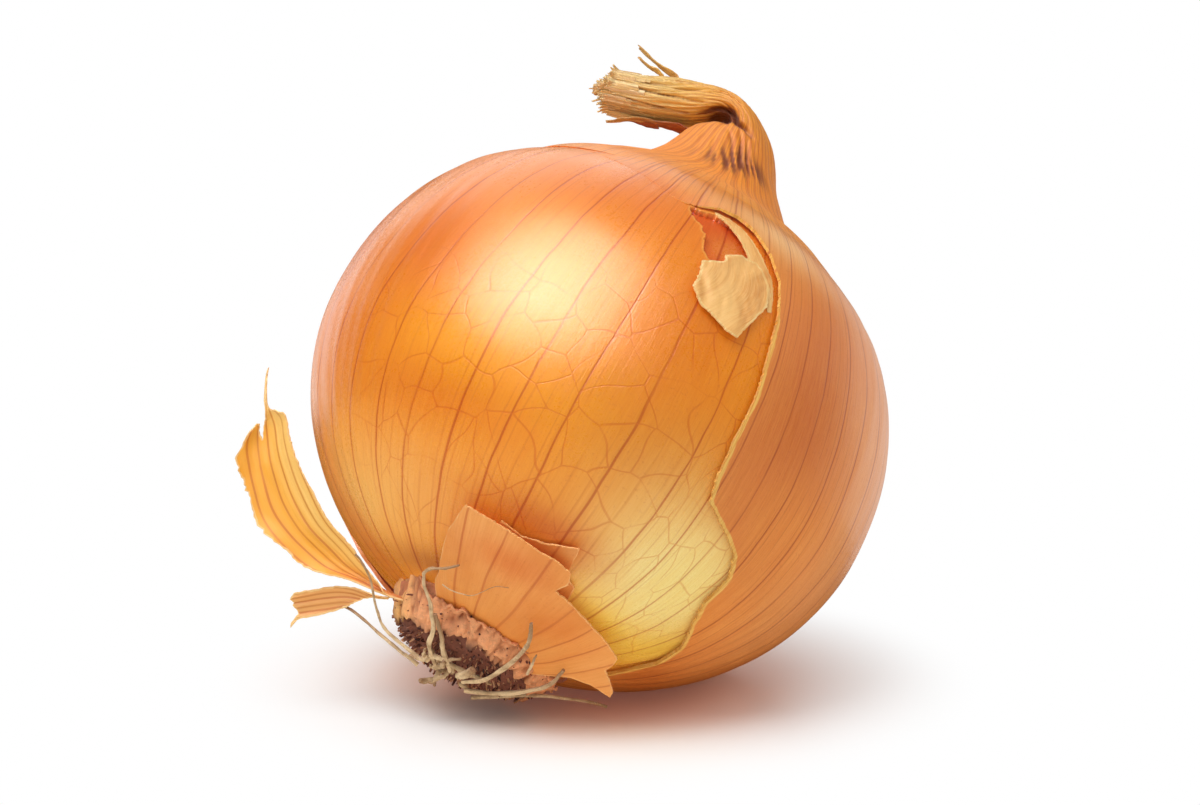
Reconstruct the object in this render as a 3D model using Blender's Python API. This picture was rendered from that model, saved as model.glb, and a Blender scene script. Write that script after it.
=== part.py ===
"""A brown onion that lies tilted on a small flat spot: the bulb, its dried neck folded over, the papery
outer skin torn open down one side, loose flakes of skin, the root plate and its dry roots.

Run it with: blender --background --python part.py
Metres, +Z up. The origin is on the flat spot, straight below the middle of the bulb.
"""

import math

import bmesh
import bpy
from mathutils import Matrix, Vector

# The bulb, in the onion's own frame: +Z runs from the root end to the neck, +X to the side with the tear.
BULB_RADIUS = 0.0392
NECK_END = 0.0362  # from the widest ring up to where the neck's pole would be
ROOT_END = 0.0340  # from the widest ring down to the root pole
NECK_ROUNDNESS = 2.27  # 2 is an ellipse, and more is squarer
ROOT_ROUNDNESS = 1.94
SHOULDER_DIP = 0.021  # the shoulders fall away towards the neck by this share
TOP_LATITUDE = 62.8  # degrees. The bulb is cut flat here, where the neck stands on it
BOTTOM_LATITUDE = -68.3  # and here, where the root plate sits

# How the onion lies
LEAN = math.radians(41.2)
LEAN_TOWARDS = math.radians(46.0)
SPIN = math.radians(-134.4)
MIDDLE_HEIGHT = 0.03575

# Layers of skin
GAP = 0.0003  # between pieces that touch
SKIN = 0.0005
TEAR_DEPTH = 0.0006  # of the torn place in the bulb's own skin

# Fineness
BULB_SEGMENTS = 56
BULB_RINGS = 30
SKIN_STEP = 6.0  # degrees
NECK_SEGMENTS = 20

# The outer skin's edge, as (longitude, latitude) in degrees. It starts under the root flake, climbs the
# tear, passes over the torn place, goes round behind the neck and comes down the back.
OUTER_SKIN_EDGE = [
    (84, -70), (72, -60), (68, -52), (62, -46), (53, -41), (48, -36), (46, -29), (42, -25), (34, -22),
    (28.5, -20), (26.5, -15), (25, -7), (24.5, 4), (23, 14), (21.8, 24), (20.5, 30), (17, 36), (12, 40.5),
    (7, 42), (2, 41.5), (-2, 39.2), (-5.5, 38.2), (-9.2, 38.5), (-20, 43), (-45, 49), (-80, 52),
    (-120, 50), (-120, 61.5), (239.2, 61.5), (239.2, 50), (236, 30), (240, 4), (231, -22), (236, -44),
    (229, -60), (232, -70),
]

# The torn place in the bulb's skin, just under the outer skin's edge, and the flake folded down from it
TORN_PLACE = [
    (-4, 38), (-2.8, 35.5), (0, 34), (2, 31.5), (3.2, 27), (5.5, 25.2), (7.6, 26.8), (9, 29.6),
    (14.5, 30.6), (13.5, 33.6), (10.5, 37.2), (7, 40), (2, 39.8), (-1.5, 38.4),
]
FOLDED_FLAKE_EDGE = [
    (7.5, 29), (14.3, 32), (18.5, 28), (19.6, 22.5), (18.2, 19), (17, 15), (16, 11.5), (11.2, 12.3),
    (7, 13.6), (4, 16.4), (3.5, 23.5), (5.5, 25.2),
]

# Flakes of skin torn up from the root end, lying against the bulb
ROOT_FLAKE_EDGE = [
    (-35, -71), (-28, -64.5), (-24.5, -56), (-21, -50), (-18.5, -45.5), (-7, -47), (4, -47.8),
    (15, -48.5), (17, -52), (15, -54), (33.5, -56), (52, -57), (53, -59.5), (67, -61), (70, -68), (72, -71),
]
UNDER_FLAKE_EDGE = [(-10, -60), (-9, -47), (-2, -48.5), (5, -47), (12.5, -43.5), (14, -48), (15, -51), (20, -52.5), (24, -60)]

# The neck, in the plane it folds in: u towards the fold, w along the onion's axis, in millimetres.
# Each station is (u, w) of its inner side, (u, w) of its outer side and half its depth.
FOLD_TOWARDS = math.radians(-99.6)
NECK_STATIONS = [
    ((18.7, 32.0), (-18.7, 32.0), 18.7),
    ((15.4, 33.9), (-15.4, 33.4), 15.4),
    ((12.4, 36.6), (-12.2, 35.8), 12.2),
    ((10.2, 39.8), (-9.6, 38.7), 9.8),
    ((8.8, 42.7), (-7.3, 41.6), 8.1),
    ((7.8, 44.8), (-5.6, 44.7), 7.0),
    ((6.5, 46.1), (-3.9, 47.4), 6.2),
    ((4.9, 46.9), (-1.6, 49.6), 5.7),
    ((4.6, 47.3), (0.8, 51.1), 5.4),
    ((5.2, 47.2), (3.7, 52.0), 5.2),
    ((6.6, 46.6), (6.8, 52.2), 5.1),
    ((9.2, 45.7), (10.4, 51.5), 4.9),
    ((12.9, 44.8), (13.8, 50.5), 4.6),
    ((16.4, 43.9), (17.2, 49.6), 4.3),
    ((20.6, 42.9), (21.4, 48.4), 4.0),
]
NECK_RINGS_PER_STATION = 2

# Dry roots: radii in millimetres at the start and the end, and the route in millimetres
ROOTS = {
    "root_front_left": (0.45, 0.24, [
        (3.5, -2.5, -40.8), (7.5, -4.7, -39.5), (10.5, -5.3, -38.0), (13.2, -7.0, -36.2), (14.8, -8.7, -35.0),
        (15.9, -9.6, -33.8), (17.0, -9.2, -32.9), (18.6, -7.6, -32.4), (20.4, -6.2, -31.6),
    ]),
    "root_fork_left": (0.45, 0.34, [(5.0, -0.6, -40.6), (8.0, -2.6, -39.5), (10.4, -3.6, -38.1)]),
    "root_left_low": (0.36, 0.25, [
        (1.5, -4.8, -41.2), (1.5, -7.6, -40.7), (1.0, -11.2, -39.9), (0.0, -15.3, -38.7), (-1.5, -18.0, -38.4),
    ]),
    "root_left_high": (0.32, 0.20, [
        (3.6, -5.2, -40.7), (3.4, -8.8, -40.1), (4.0, -11.5, -39.3), (5.6, -13.4, -37.8), (7.2, -15.4, -35.8),
        (8.6, -17.6, -34.4), (9.0, -18.9, -34.0),
    ]),
    "root_front_right": (0.48, 0.36, [
        (4.2, 1.4, -41.0), (6.6, 3.8, -39.8), (10.0, 5.5, -37.5), (13.5, 6.4, -35.6), (16.5, 6.2, -34.2),
        (19.0, 5.5, -33.4),
    ]),
    "root_fork_right": (0.28, 0.20, [(11.5, 8.3, -37.7), (13.0, 8.2, -36.6), (14.5, 8.1, -35.6)]),
    "root_right_low": (0.40, 0.30, [
        (1.5, 2.2, -41.2), (3.5, 6.2, -39.9), (6.5, 10.6, -37.4), (9.0, 11.9, -35.9), (11.0, 12.2, -34.7),
    ]),
    "root_floor": (0.40, 0.28, [(-1.0, 3.4, -41.0), (0.4, 10.3, -38.2), (1.4, 16.4, -35.4), (2.2, 19.8, -34.0)]),
    "root_stub_upper": (0.50, 0.48, [(5.8, 0.5, -41.0), (7.4, 1.4, -40.6), (8.8, 1.8, -39.9)]),
    "root_stub_lower": (0.48, 0.36, [(0.6, -1.8, -41.4), (0.8, -2.7, -42.2), (1.4, -3.6, -42.9)]),
}

# Strips of dry leaf split from the neck: width, thickness and route in millimetres
NECK_STRIPS = {
    "neck_strip_long": (1.3, 0.5, [(13.6, 51.2), (15.9, 51.6), (17.7, 52.1), (19.3, 52.6)]),
    "neck_strip_short": (1.0, 0.5, [(15.8, 50.4), (17.0, 50.5), (18.3, 50.9)]),
    "neck_strip_under": (1.9, 0.5, [(8.6, 44.9), (10.8, 44.0), (13.8, 43.4), (16.9, 41.9), (18.0, 40.3)]),
}

# Husks that stand away from the bulb: the two edges of the strip, in millimetres, and how far its middle
# bows away from the bulb
HUSKS = {
    "husk_large": (1.2, [
        ((3.1, -15.0, -35.6), (4.0, -12.9, -35.4)), ((3.0, -18.2, -35.9), (4.1, -14.4, -34.8)),
        ((2.2, -21.9, -36.5), (4.4, -17.4, -33.8)), ((1.9, -24.8, -36.3), (4.8, -20.6, -32.6)),
        ((2.0, -28.6, -35.4), (5.1, -24.9, -31.1)), ((1.9, -32.2, -33.9), (5.7, -29.2, -28.4)),
        ((2.4, -35.2, -31.4), (6.2, -32.4, -25.9)), ((2.9, -37.4, -29.2), (6.5, -34.4, -23.9)),
        ((3.6, -39.1, -26.8), (6.9, -36.2, -21.8)), ((5.4, -39.4, -23.0), (6.9, -38.4, -21.0)),
        ((6.4, -41.0, -17.9), (6.8, -40.9, -17.6)),
    ]),
    "husk_small": (0.5, [
        ((1.5, -14.0, -37.6), (2.4, -14.3, -36.4)), ((0.2, -16.8, -39.1), (1.6, -17.5, -36.7)),
        ((-1.6, -19.0, -40.6), (0.4, -20.3, -37.7)), ((-3.8, -21.9, -42.3), (-1.9, -24.0, -40.2)),
    ]),
}

MM = 0.001

COLOURS = {
    "bulb_skin": ((0.80, 0.36, 0.08, 1), 0.30),
    "outer_skin": ((0.72, 0.33, 0.12, 1), 0.42),
    "neck": ((0.70, 0.42, 0.13, 1), 0.70),
    "pale_flake": ((0.86, 0.62, 0.28, 1), 0.50),
    "husk": ((0.84, 0.47, 0.13, 1), 0.50),
    "root_plate": ((0.22, 0.11, 0.06, 1), 0.90),
    "root": ((0.50, 0.39, 0.25, 1), 0.80),
}


def clear_scene():
    for obj in list(bpy.data.objects):
        bpy.data.objects.remove(obj)


def material(name):
    """A plain finish, made once for each name."""
    found = bpy.data.materials.get(name)
    if found:
        return found
    colour, roughness = COLOURS[name]
    made = bpy.data.materials.new(name)
    made.use_nodes = True
    shader = made.node_tree.nodes["Principled BSDF"]
    shader.inputs["Base Color"].default_value = colour
    shader.inputs["Roughness"].default_value = roughness
    shader.inputs["Metallic"].default_value = 0.0
    return made


def lie_down():
    """The onion's own frame, standing on its root end, turned and lifted to where it lies."""
    turn = Matrix.Rotation(LEAN_TOWARDS, 4, "Z") @ Matrix.Rotation(LEAN, 4, "Y") @ Matrix.Rotation(SPIN, 4, "Z")
    return Matrix.Translation((0, 0, MIDDLE_HEIGHT)) @ turn


def profile(latitude):
    """(radius, height) of the bulb's surface at this latitude."""
    share = math.sin(latitude)
    if share > 0:
        height, roundness = NECK_END, NECK_ROUNDNESS
    else:
        height, roundness = ROOT_END, ROOT_ROUNDNESS
    radius = BULB_RADIUS * math.sqrt(max(0.0, 1 - abs(share) ** roundness))
    shoulder = min(1.0, max(0.0, (math.degrees(latitude) - 36) / 24))
    kept = 1 - SHOULDER_DIP * shoulder**2 * (3 - 2 * shoulder)
    return radius * kept, share * height * kept


def on_bulb(longitude, latitude, lift=0.0):
    """A point this far above the bulb's surface, in the onion's own frame. Angles are in degrees."""
    around, up = math.radians(longitude), math.radians(latitude)
    radius, height = profile(up)
    ahead, behind = profile(up + 1e-4), profile(up - 1e-4)
    along = Vector((ahead[0] - behind[0], ahead[1] - behind[1])).normalized()
    radius += along.y * lift
    height -= along.x * lift
    return Vector((radius * math.cos(around), radius * math.sin(around), height))


def settle(bm, floor):
    """Puts a mesh made in the onion's own frame where the onion lies, flat where it would pass the floor."""
    bm.transform(lie_down())
    for vert in bm.verts:
        vert.co.z = max(vert.co.z, floor)


def add_object(name, bm, finish, smooth=True):
    """A new object from the mesh, facing outwards."""
    bmesh.ops.recalc_face_normals(bm, faces=bm.faces)
    mesh = bpy.data.meshes.new(name)
    bm.to_mesh(mesh)
    bm.free()
    mesh.materials.append(material(finish))
    obj = bpy.data.objects.new(name, mesh)
    bpy.context.scene.collection.objects.link(obj)
    if smooth:
        mesh.shade_smooth()
        mesh.set_sharp_from_angle(angle=math.radians(40))
    return obj


def join_rings(bm, rings):
    """Side faces between rings of the same size, and a cap on the first and the last."""
    for lower, upper in zip(rings, rings[1:]):
        for i, corner in enumerate(lower):
            after = (i + 1) % len(lower)
            bm.faces.new((corner, lower[after], upper[after], upper[i]))
    bm.faces.new(reversed(rings[0]))
    bm.faces.new(rings[-1])


def ring_of(bm, radius, height, segments):
    turns = [math.tau * i / segments for i in range(segments)]
    return [bm.verts.new((radius * math.cos(a), radius * math.sin(a), height)) for a in turns]


def build_bulb():
    """The bulb with its own shiny skin, and the torn place cut into that skin."""
    bm = bmesh.new()
    rings = []
    for i in range(BULB_RINGS + 1):
        latitude = BOTTOM_LATITUDE + (TOP_LATITUDE - BOTTOM_LATITUDE) * i / BULB_RINGS
        radius, height = profile(math.radians(latitude))
        rings.append(ring_of(bm, radius, height, BULB_SEGMENTS))
    join_rings(bm, rings)
    settle(bm, SKIN + GAP)
    bulb = add_object("bulb", bm, "bulb_skin")
    cutter = sheet_on_bulb("torn_place_cutter", TORN_PLACE, lambda lon, lat: -TEAR_DEPTH, 0.002, 4.0, "bulb_skin", 0)
    cutter.hide_render = True
    cutter.display_type = "WIRE"
    cut = bulb.modifiers.new("torn_place", "BOOLEAN")
    cut.operation = "DIFFERENCE"
    cut.solver = "EXACT"
    cut.object = cutter
    return bulb


def sheet_on_bulb(name, edge, lift, thickness, step, finish, floor):
    """A closed sheet that follows the bulb inside an edge given as (longitude, latitude). lift(longitude,
    latitude) is how high its inner face is above the bulb's surface."""
    bm = bmesh.new()
    bm.faces.new([bm.verts.new((lon, lat, 0)) for lon, lat in edge])
    for axis in (0, 1):
        low, high = min(p[axis] for p in edge), max(p[axis] for p in edge)
        normal = Vector((1, 0, 0)) if axis == 0 else Vector((0, 1, 0))
        for count in range(math.floor(low / step) + 1, math.ceil(high / step)):
            parts = bm.verts[:] + bm.edges[:] + bm.faces[:]
            bmesh.ops.bisect_plane(bm, geom=parts, plane_co=normal * count * step, plane_no=normal, dist=1e-4)
    bmesh.ops.triangulate(bm, faces=bm.faces)
    inner = bm.verts[:]
    grown = bmesh.ops.extrude_face_region(bm, geom=bm.faces[:], use_keep_orig=True)
    outer = [part for part in grown["geom"] if isinstance(part, bmesh.types.BMVert)]
    for verts, above, lowest in ((inner, 0.0, floor), (outer, thickness, floor - thickness)):
        for vert in verts:
            lon, lat = vert.co.x, vert.co.y
            vert.co = lie_down() @ on_bulb(lon, lat, lift(lon, lat) + above)
            vert.co.z = max(vert.co.z, lowest)
    return add_object(name, bm, finish)


def build_outer_skin():
    return sheet_on_bulb(
        "outer_skin", OUTER_SKIN_EDGE, lambda lon, lat: GAP, SKIN, SKIN_STEP, "outer_skin", SKIN
    )


def build_folded_flake():
    """The pale flake hangs from the lower edge of the torn place and stands off a little at its tip."""
    def lift(lon, lat):
        return GAP + 0.0012 * (1 - (lat - 11.5) / 20) ** 2

    return sheet_on_bulb("folded_flake", FOLDED_FLAKE_EDGE, lift, SKIN, 4.0, "pale_flake", 0)


def build_root_flakes():
    """The wide flake stands off the bulb, most at the corner that hangs free, and a small one lies under it."""
    def lift_wide(lon, lat):
        return 0.0014 + 0.000006 * (lon + 20) + 0.0000018 * max(0.0, lon - 30) ** 2

    def lift_small(lon, lat):
        return GAP

    return [
        sheet_on_bulb("root_flake", ROOT_FLAKE_EDGE, lift_wide, SKIN, 6.0, "husk", SKIN + GAP),
        sheet_on_bulb("root_flake_under", UNDER_FLAKE_EDGE, lift_small, SKIN, 6.0, "husk", SKIN + GAP),
    ]


def between(points, share):
    """A point on the smooth curve through these points, share going from 0 to 1. Points are tuples of any length."""
    place = share * (len(points) - 1)
    i = min(int(place), len(points) - 2)
    t = place - i
    before, here, there, beyond = (points[max(0, min(len(points) - 1, i + k))] for k in (-1, 0, 1, 2))
    return tuple(
        0.5 * (2 * b + (c - a) * t + (2 * a - 5 * b + 4 * c - d) * t**2 + (3 * b - a - 3 * c + d) * t**3)
        for a, b, c, d in zip(before, here, there, beyond)
    )


def fold_frame():
    """Unit vectors of the plane that the neck folds in, and the one across it, in the onion's own frame."""
    towards = Vector((math.cos(FOLD_TOWARDS), math.sin(FOLD_TOWARDS), 0))
    up = Vector((0, 0, 1))
    return towards, up, up.cross(towards)


def build_neck():
    """The dried neck: rings that turn over as it folds, and narrow to its frayed end."""
    towards, up, across = fold_frame()
    flat = [(*inner, *outer, depth) for inner, outer, depth in NECK_STATIONS]
    count = NECK_RINGS_PER_STATION * (len(flat) - 1)
    bm = bmesh.new()
    rings = []
    for i in range(count + 1):
        u0, w0, u1, w1, depth = between(flat, i / count)
        inner = (towards * u0 + up * w0) * MM
        outer = (towards * u1 + up * w1) * MM
        middle, half = (inner + outer) / 2, (inner - outer) / 2
        turns = [math.tau * k / NECK_SEGMENTS for k in range(NECK_SEGMENTS)]
        rings.append([
            bm.verts.new(middle + half * math.cos(a) + across * depth * MM * math.sin(a)) for a in turns
        ])
    join_rings(bm, rings)
    settle(bm, 0)
    return add_object("neck", bm, "neck")


def build_neck_strips():
    """Thin strips of dry leaf that have split away from the neck."""
    towards, up, across = fold_frame()
    made = []
    for name, (width, thickness, route) in NECK_STRIPS.items():
        bm = bmesh.new()
        rings = []
        steps = 3 * (len(route) - 1)
        for i in range(steps + 1):
            u, w = between(route, i / steps)
            ahead, behind = between(route, min(1, i / steps + 0.01)), between(route, max(0, i / steps - 0.01))
            along = (towards * (ahead[0] - behind[0]) + up * (ahead[1] - behind[1])).normalized()
            side = along.cross(across)
            middle = (towards * u + up * w) * MM
            taper = 1 - 0.35 * i / steps
            corners = ((1, 1), (1, -1), (-1, -1), (-1, 1))
            rings.append([
                bm.verts.new(middle + (across * a * width * taper + side * b * thickness) * MM / 2) for a, b in corners
            ])
        join_rings(bm, rings)
        settle(bm, 0)
        made.append(add_object(name, bm, "neck", smooth=False))
    return made


def build_husk(name, bow, edges):
    """A strip of dry skin between two edges, with its middle bowed away from the bulb."""
    columns, rows = 4, 2 * (len(edges) - 1)
    flat = [(*one, *other) for one, other in edges]
    bm = bmesh.new()
    rings = []
    for i in range(rows + 1):
        places = [between(flat, max(0.0, min(1.0, i / rows + k))) for k in (-0.01, 0, 0.01)]
        one, other = Vector(places[1][:3]), Vector(places[1][3:])
        along = Vector(places[2][:3]) + Vector(places[2][3:]) - Vector(places[0][:3]) - Vector(places[0][3:])
        out = along.cross(other - one).normalized()
        near, far = [], []
        for j in range(columns + 1):
            s = j / columns
            point = one.lerp(other, s) * MM + out * bow * MM * 4 * s * (1 - s) * min(1, (other - one).length / 5)
            near.append(bm.verts.new(point))
            far.append(bm.verts.new(point + out * SKIN))
        rings.append(near + far[::-1])
    join_rings(bm, rings)
    settle(bm, 0)
    return add_object(name, bm, "husk")


def build_root_plate():
    """The root plate: a low collar where the skins end, and the domed face that the roots grow from."""
    steps = [(11.0, -31.9), (12.2, -32.6), (12.3, -34.2), (11.4, -36.0), (9.2, -37.6), (6.0, -38.9), (2.5, -39.6)]
    bm = bmesh.new()
    join_rings(bm, [ring_of(bm, radius * MM, height * MM, 32) for radius, height in reversed(steps)])
    settle(bm, 0)
    return add_object("root_plate", bm, "root_plate")


def build_root(name, start_radius, end_radius, route):
    """A dry root: a tapered tube along a smooth route."""
    curve = bpy.data.curves.new(name, "CURVE")
    curve.dimensions = "3D"
    curve.bevel_depth = MM
    curve.bevel_resolution = 1
    curve.use_fill_caps = True
    steps = 3 * (len(route) - 1)
    spline = curve.splines.new("POLY")
    spline.points.add(steps)
    for i, point in enumerate(spline.points):
        share = i / steps
        place = lie_down() @ (Vector(between(route, share)) * MM)
        point.co = (*place, 1)
        point.radius = start_radius + (end_radius - start_radius) * share
    curve.materials.append(material("root"))
    obj = bpy.data.objects.new(name, curve)
    bpy.context.scene.collection.objects.link(obj)
    return obj


def main():
    clear_scene()
    build_bulb()
    build_outer_skin()
    build_neck()
    build_neck_strips()
    build_folded_flake()
    build_root_flakes()
    for name, (bow, edges) in HUSKS.items():
        build_husk(name, bow, edges)
    build_root_plate()
    for name, (start_radius, end_radius, route) in ROOTS.items():
        build_root(name, start_radius, end_radius, route)


main()
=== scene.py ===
import math

import bmesh
import bpy
import numpy as np
from mathutils import Matrix, Vector


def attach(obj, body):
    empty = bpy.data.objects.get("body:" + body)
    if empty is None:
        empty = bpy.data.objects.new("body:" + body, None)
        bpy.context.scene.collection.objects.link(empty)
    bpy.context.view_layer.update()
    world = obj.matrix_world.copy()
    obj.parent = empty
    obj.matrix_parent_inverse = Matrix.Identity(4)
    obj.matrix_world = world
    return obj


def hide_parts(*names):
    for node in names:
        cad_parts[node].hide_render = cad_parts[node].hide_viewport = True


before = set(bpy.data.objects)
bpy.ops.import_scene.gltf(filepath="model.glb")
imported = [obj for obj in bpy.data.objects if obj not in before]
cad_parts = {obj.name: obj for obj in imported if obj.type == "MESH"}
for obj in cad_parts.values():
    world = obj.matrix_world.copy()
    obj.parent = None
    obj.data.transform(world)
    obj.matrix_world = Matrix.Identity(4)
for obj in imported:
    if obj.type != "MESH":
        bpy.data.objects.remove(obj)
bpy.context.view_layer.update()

mm = 0.001

# The bulb's form, in its own frame: +Z to the neck, +X to the side with the tear
form = {
    "radius": 0.0392, "neckEnd": 0.0362, "rootEnd": 0.0340, "neckRoundness": 2.27, "rootRoundness": 1.94,
    "shoulderDip": 0.021, "middleHeight": 0.03575, "lean": 41.2, "leanTowards": 46.0, "spin": -134.4,
}
layers = {"gap": 0.0003, "skin": 0.0005, "tear": 0.0007}  # metres

turn = (
    Matrix.Rotation(math.radians(form["leanTowards"]), 3, "Z")
    @ Matrix.Rotation(math.radians(form["lean"]), 3, "Y")
    @ Matrix.Rotation(math.radians(form["spin"]), 3, "Z")
)
turnRows = np.array(turn)
middle = np.array([0.0, 0.0, form["middleHeight"]])


def lieDown(points):
    return points @ turnRows.T + middle


def standUp(points):
    return (points - middle) @ turnRows


def bulbProfile(lat):
    share = np.sin(np.radians(lat))
    height = np.where(share > 0, form["neckEnd"], form["rootEnd"])
    roundness = np.where(share > 0, form["neckRoundness"], form["rootRoundness"])
    radius = form["radius"] * np.sqrt(np.clip(1 - np.abs(share) ** roundness, 0, 1))
    shoulder = np.clip((lat - 36) / 24, 0, 1)
    kept = 1 - form["shoulderDip"] * shoulder**2 * (3 - 2 * shoulder)
    return radius * kept, share * height * kept


def onBulb(lon, lat, lift=0.0):
    radius, height = bulbProfile(lat)
    ahead, behind = bulbProfile(lat + 0.02), bulbProfile(lat - 0.02)
    dr, dh = ahead[0] - behind[0], ahead[1] - behind[1]
    long = np.maximum(np.hypot(dr, dh), 1e-12)
    radius, height = radius + dh / long * lift, height - dr / long * lift
    around = np.radians(lon)
    return lieDown(np.stack([radius * np.cos(around), radius * np.sin(around), height], -1))


latSteps = np.linspace(-89.9, 89.9, 900)
rayOfLat = np.degrees(np.arctan2(*bulbProfile(latSteps)[::-1]))


def lonLat(points):  # where on the bulb a point lies
    own = standUp(points)
    lon = np.degrees(np.arctan2(own[:, 1], own[:, 0]))
    ray = np.degrees(np.arctan2(own[:, 2], np.hypot(own[:, 0], own[:, 1])))
    return lon, np.interp(ray, rayOfLat, latSteps)


def smooth(low, high, value):
    t = np.clip((value - low) / (high - low), 0, 1)
    return t * t * (3 - 2 * t)


def hump(value, middle, wide):  # 1 in the middle, falling to nothing on both sides
    return np.exp(-(((value - middle) / wide) ** 2))


def blended(one, other, share):
    return np.asarray(one) * (1 - share) + np.asarray(other) * share


def raised(placed, low):  # lifts what would be lower than this over the floor
    placed[:, 2] = np.maximum(placed[:, 2], low)
    return placed


def rgb(r, g, b):
    return [(c / 255 / 12.92) if c / 255 <= 0.04045 else ((c / 255 + 0.055) / 1.055) ** 2.4 for c in (r, g, b)]


# Working in the viewport's way

def deselect():
    if bpy.context.object and bpy.context.object.mode != "OBJECT":
        bpy.ops.object.mode_set(mode="OBJECT")
    bpy.ops.object.select_all(action="DESELECT")


def pick(obj):
    deselect()
    obj.select_set(True)
    bpy.context.view_layer.objects.active = obj
    return obj


def named(name):
    obj = bpy.context.object
    obj.name = obj.data.name = name
    return obj


def places(obj):
    co = np.empty(len(obj.data.vertices) * 3)
    obj.data.vertices.foreach_get("co", co)
    return co.reshape(-1, 3)


def movePlaces(obj, co):
    obj.data.vertices.foreach_set("co", np.ascontiguousarray(co, dtype=np.float32).ravel())
    obj.data.update()


def applied(obj, kind, **settings):
    pick(obj)
    mod = obj.modifiers.new(kind.lower(), kind)
    for key, value in settings.items():
        setattr(mod, key, value)
    bpy.ops.object.modifier_apply(modifier=mod.name)
    return obj


def chooseFaces(obj, test):  # goes into edit mode with just these faces selected
    pick(obj)
    bpy.ops.object.mode_set(mode="EDIT")
    bpy.ops.mesh.select_mode(type="FACE")
    bpy.ops.mesh.select_all(action="DESELECT")
    bpy.ops.object.mode_set(mode="OBJECT")
    for face in obj.data.polygons:
        face.select = bool(test(face))
    bpy.ops.object.mode_set(mode="EDIT")


def weld(obj, merge=1e-6):
    pick(obj)
    bpy.ops.object.mode_set(mode="EDIT")
    bpy.ops.mesh.select_all(action="SELECT")
    bpy.ops.mesh.remove_doubles(threshold=merge)
    bpy.ops.object.mode_set(mode="OBJECT")
    return obj


def faceOut(obj, merge=1e-7):  # merged, and every face of the closed shape turned outwards
    weld(obj, merge)
    bpy.ops.object.mode_set(mode="EDIT")
    bpy.ops.mesh.select_all(action="SELECT")
    bpy.ops.mesh.normals_make_consistent(inside=False)
    bpy.ops.object.mode_set(mode="OBJECT")
    work = bmesh.new()
    work.from_mesh(obj.data)
    inward = work.calc_volume(signed=True) < 0
    work.free()
    if inward:
        bpy.ops.object.mode_set(mode="EDIT")
        bpy.ops.mesh.select_all(action="SELECT")
        bpy.ops.mesh.flip_normals()
        bpy.ops.object.mode_set(mode="OBJECT")
    return obj


def softShade(obj, angle=40):
    pick(obj)
    bpy.ops.object.shade_smooth_by_angle(angle=math.radians(angle))
    return obj


def store(obj, name, values):
    kind = "FLOAT" if values.ndim == 1 else ("FLOAT_VECTOR" if values.shape[1] == 3 else "FLOAT_COLOR")
    layer = obj.data.attributes.get(name) or obj.data.attributes.new(name, kind, "POINT")
    layer.data.foreach_set({"FLOAT": "value", "FLOAT_VECTOR": "vector", "FLOAT_COLOR": "color"}[kind],
                           np.ascontiguousarray(values, dtype=np.float32).ravel())


def handOver(obj, finish, slot, *nodes):
    obj.data.materials.clear()
    for one in finish if isinstance(finish, list) else [finish]:
        obj.data.materials.append(one)
    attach(obj, "root")
    if nodes:
        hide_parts(*nodes)
    return obj


# Node helpers: an input may be a socket or a value

def node(tree, kind, *inputs, out=0, **settings):
    made = tree.nodes.new(kind)
    for key, value in settings.items():
        setattr(made, key, value)
    for i, value in enumerate(inputs):
        wire(tree, made.inputs[i], value)
    return made.outputs[out]


def wire(tree, socket, value):
    if isinstance(value, bpy.types.NodeSocket):
        tree.links.new(value, socket)
    elif value is not None:
        socket.default_value = value


def calc(tree, operation, *inputs):
    return node(tree, "ShaderNodeMath", *inputs, operation=operation)


def ramp(tree, value, low, high, start=0.0, end=1.0):
    return node(tree, "ShaderNodeMapRange", value, low, high, start, end, interpolation_type="SMOOTHSTEP")


def mix(tree, share, one, other, blend="MIX"):
    made = tree.nodes.new("ShaderNodeMix")
    made.data_type = "RGBA"
    made.blend_type = blend
    for i, value in ((0, share), (6, one), (7, other)):
        if isinstance(value, (list, tuple)):
            value = (*value[:3], 1.0)
        wire(tree, made.inputs[i], value)
    return made.outputs[2]


def shaded(tree, colour, shade):
    return mix(tree, 1.0, colour, shade, "MULTIPLY")


def stretched(tree, vector, scale, shift=(0, 0, 0)):
    return node(tree, "ShaderNodeMapping", vector, shift, None, scale)


def noise(tree, vector, scale=1.0, detail=2.0, rough=0.5, warp=0.0):
    made = tree.nodes.new("ShaderNodeTexNoise")
    for key, value in (("Vector", vector), ("Scale", scale), ("Detail", detail), ("Roughness", rough),
                       ("Distortion", warp)):
        wire(tree, made.inputs[key], value)
    return made.outputs["Fac"]


def attribute(tree, name, out="Vector"):
    made = tree.nodes.new("ShaderNodeAttribute")
    made.attribute_name = name
    return made.outputs[out]


def newFinish(name, roughness=0.5, ior=1.45):
    made = bpy.data.materials.new(name)
    made.use_nodes = True
    shader = made.node_tree.nodes["Principled BSDF"]
    shader.inputs["Roughness"].default_value = roughness
    shader.inputs["IOR"].default_value = ior
    return made, made.node_tree, shader


def bump(tree, shader, height, strength=0.3, distance=0.0002):
    made = tree.nodes.new("ShaderNodeBump")
    made.inputs["Strength"].default_value = strength
    made.inputs["Distance"].default_value = distance
    wire(tree, made.inputs["Height"], height)
    wire(tree, shader.inputs["Normal"], made.outputs["Normal"])
    return made


# Camera, floor and light

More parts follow.
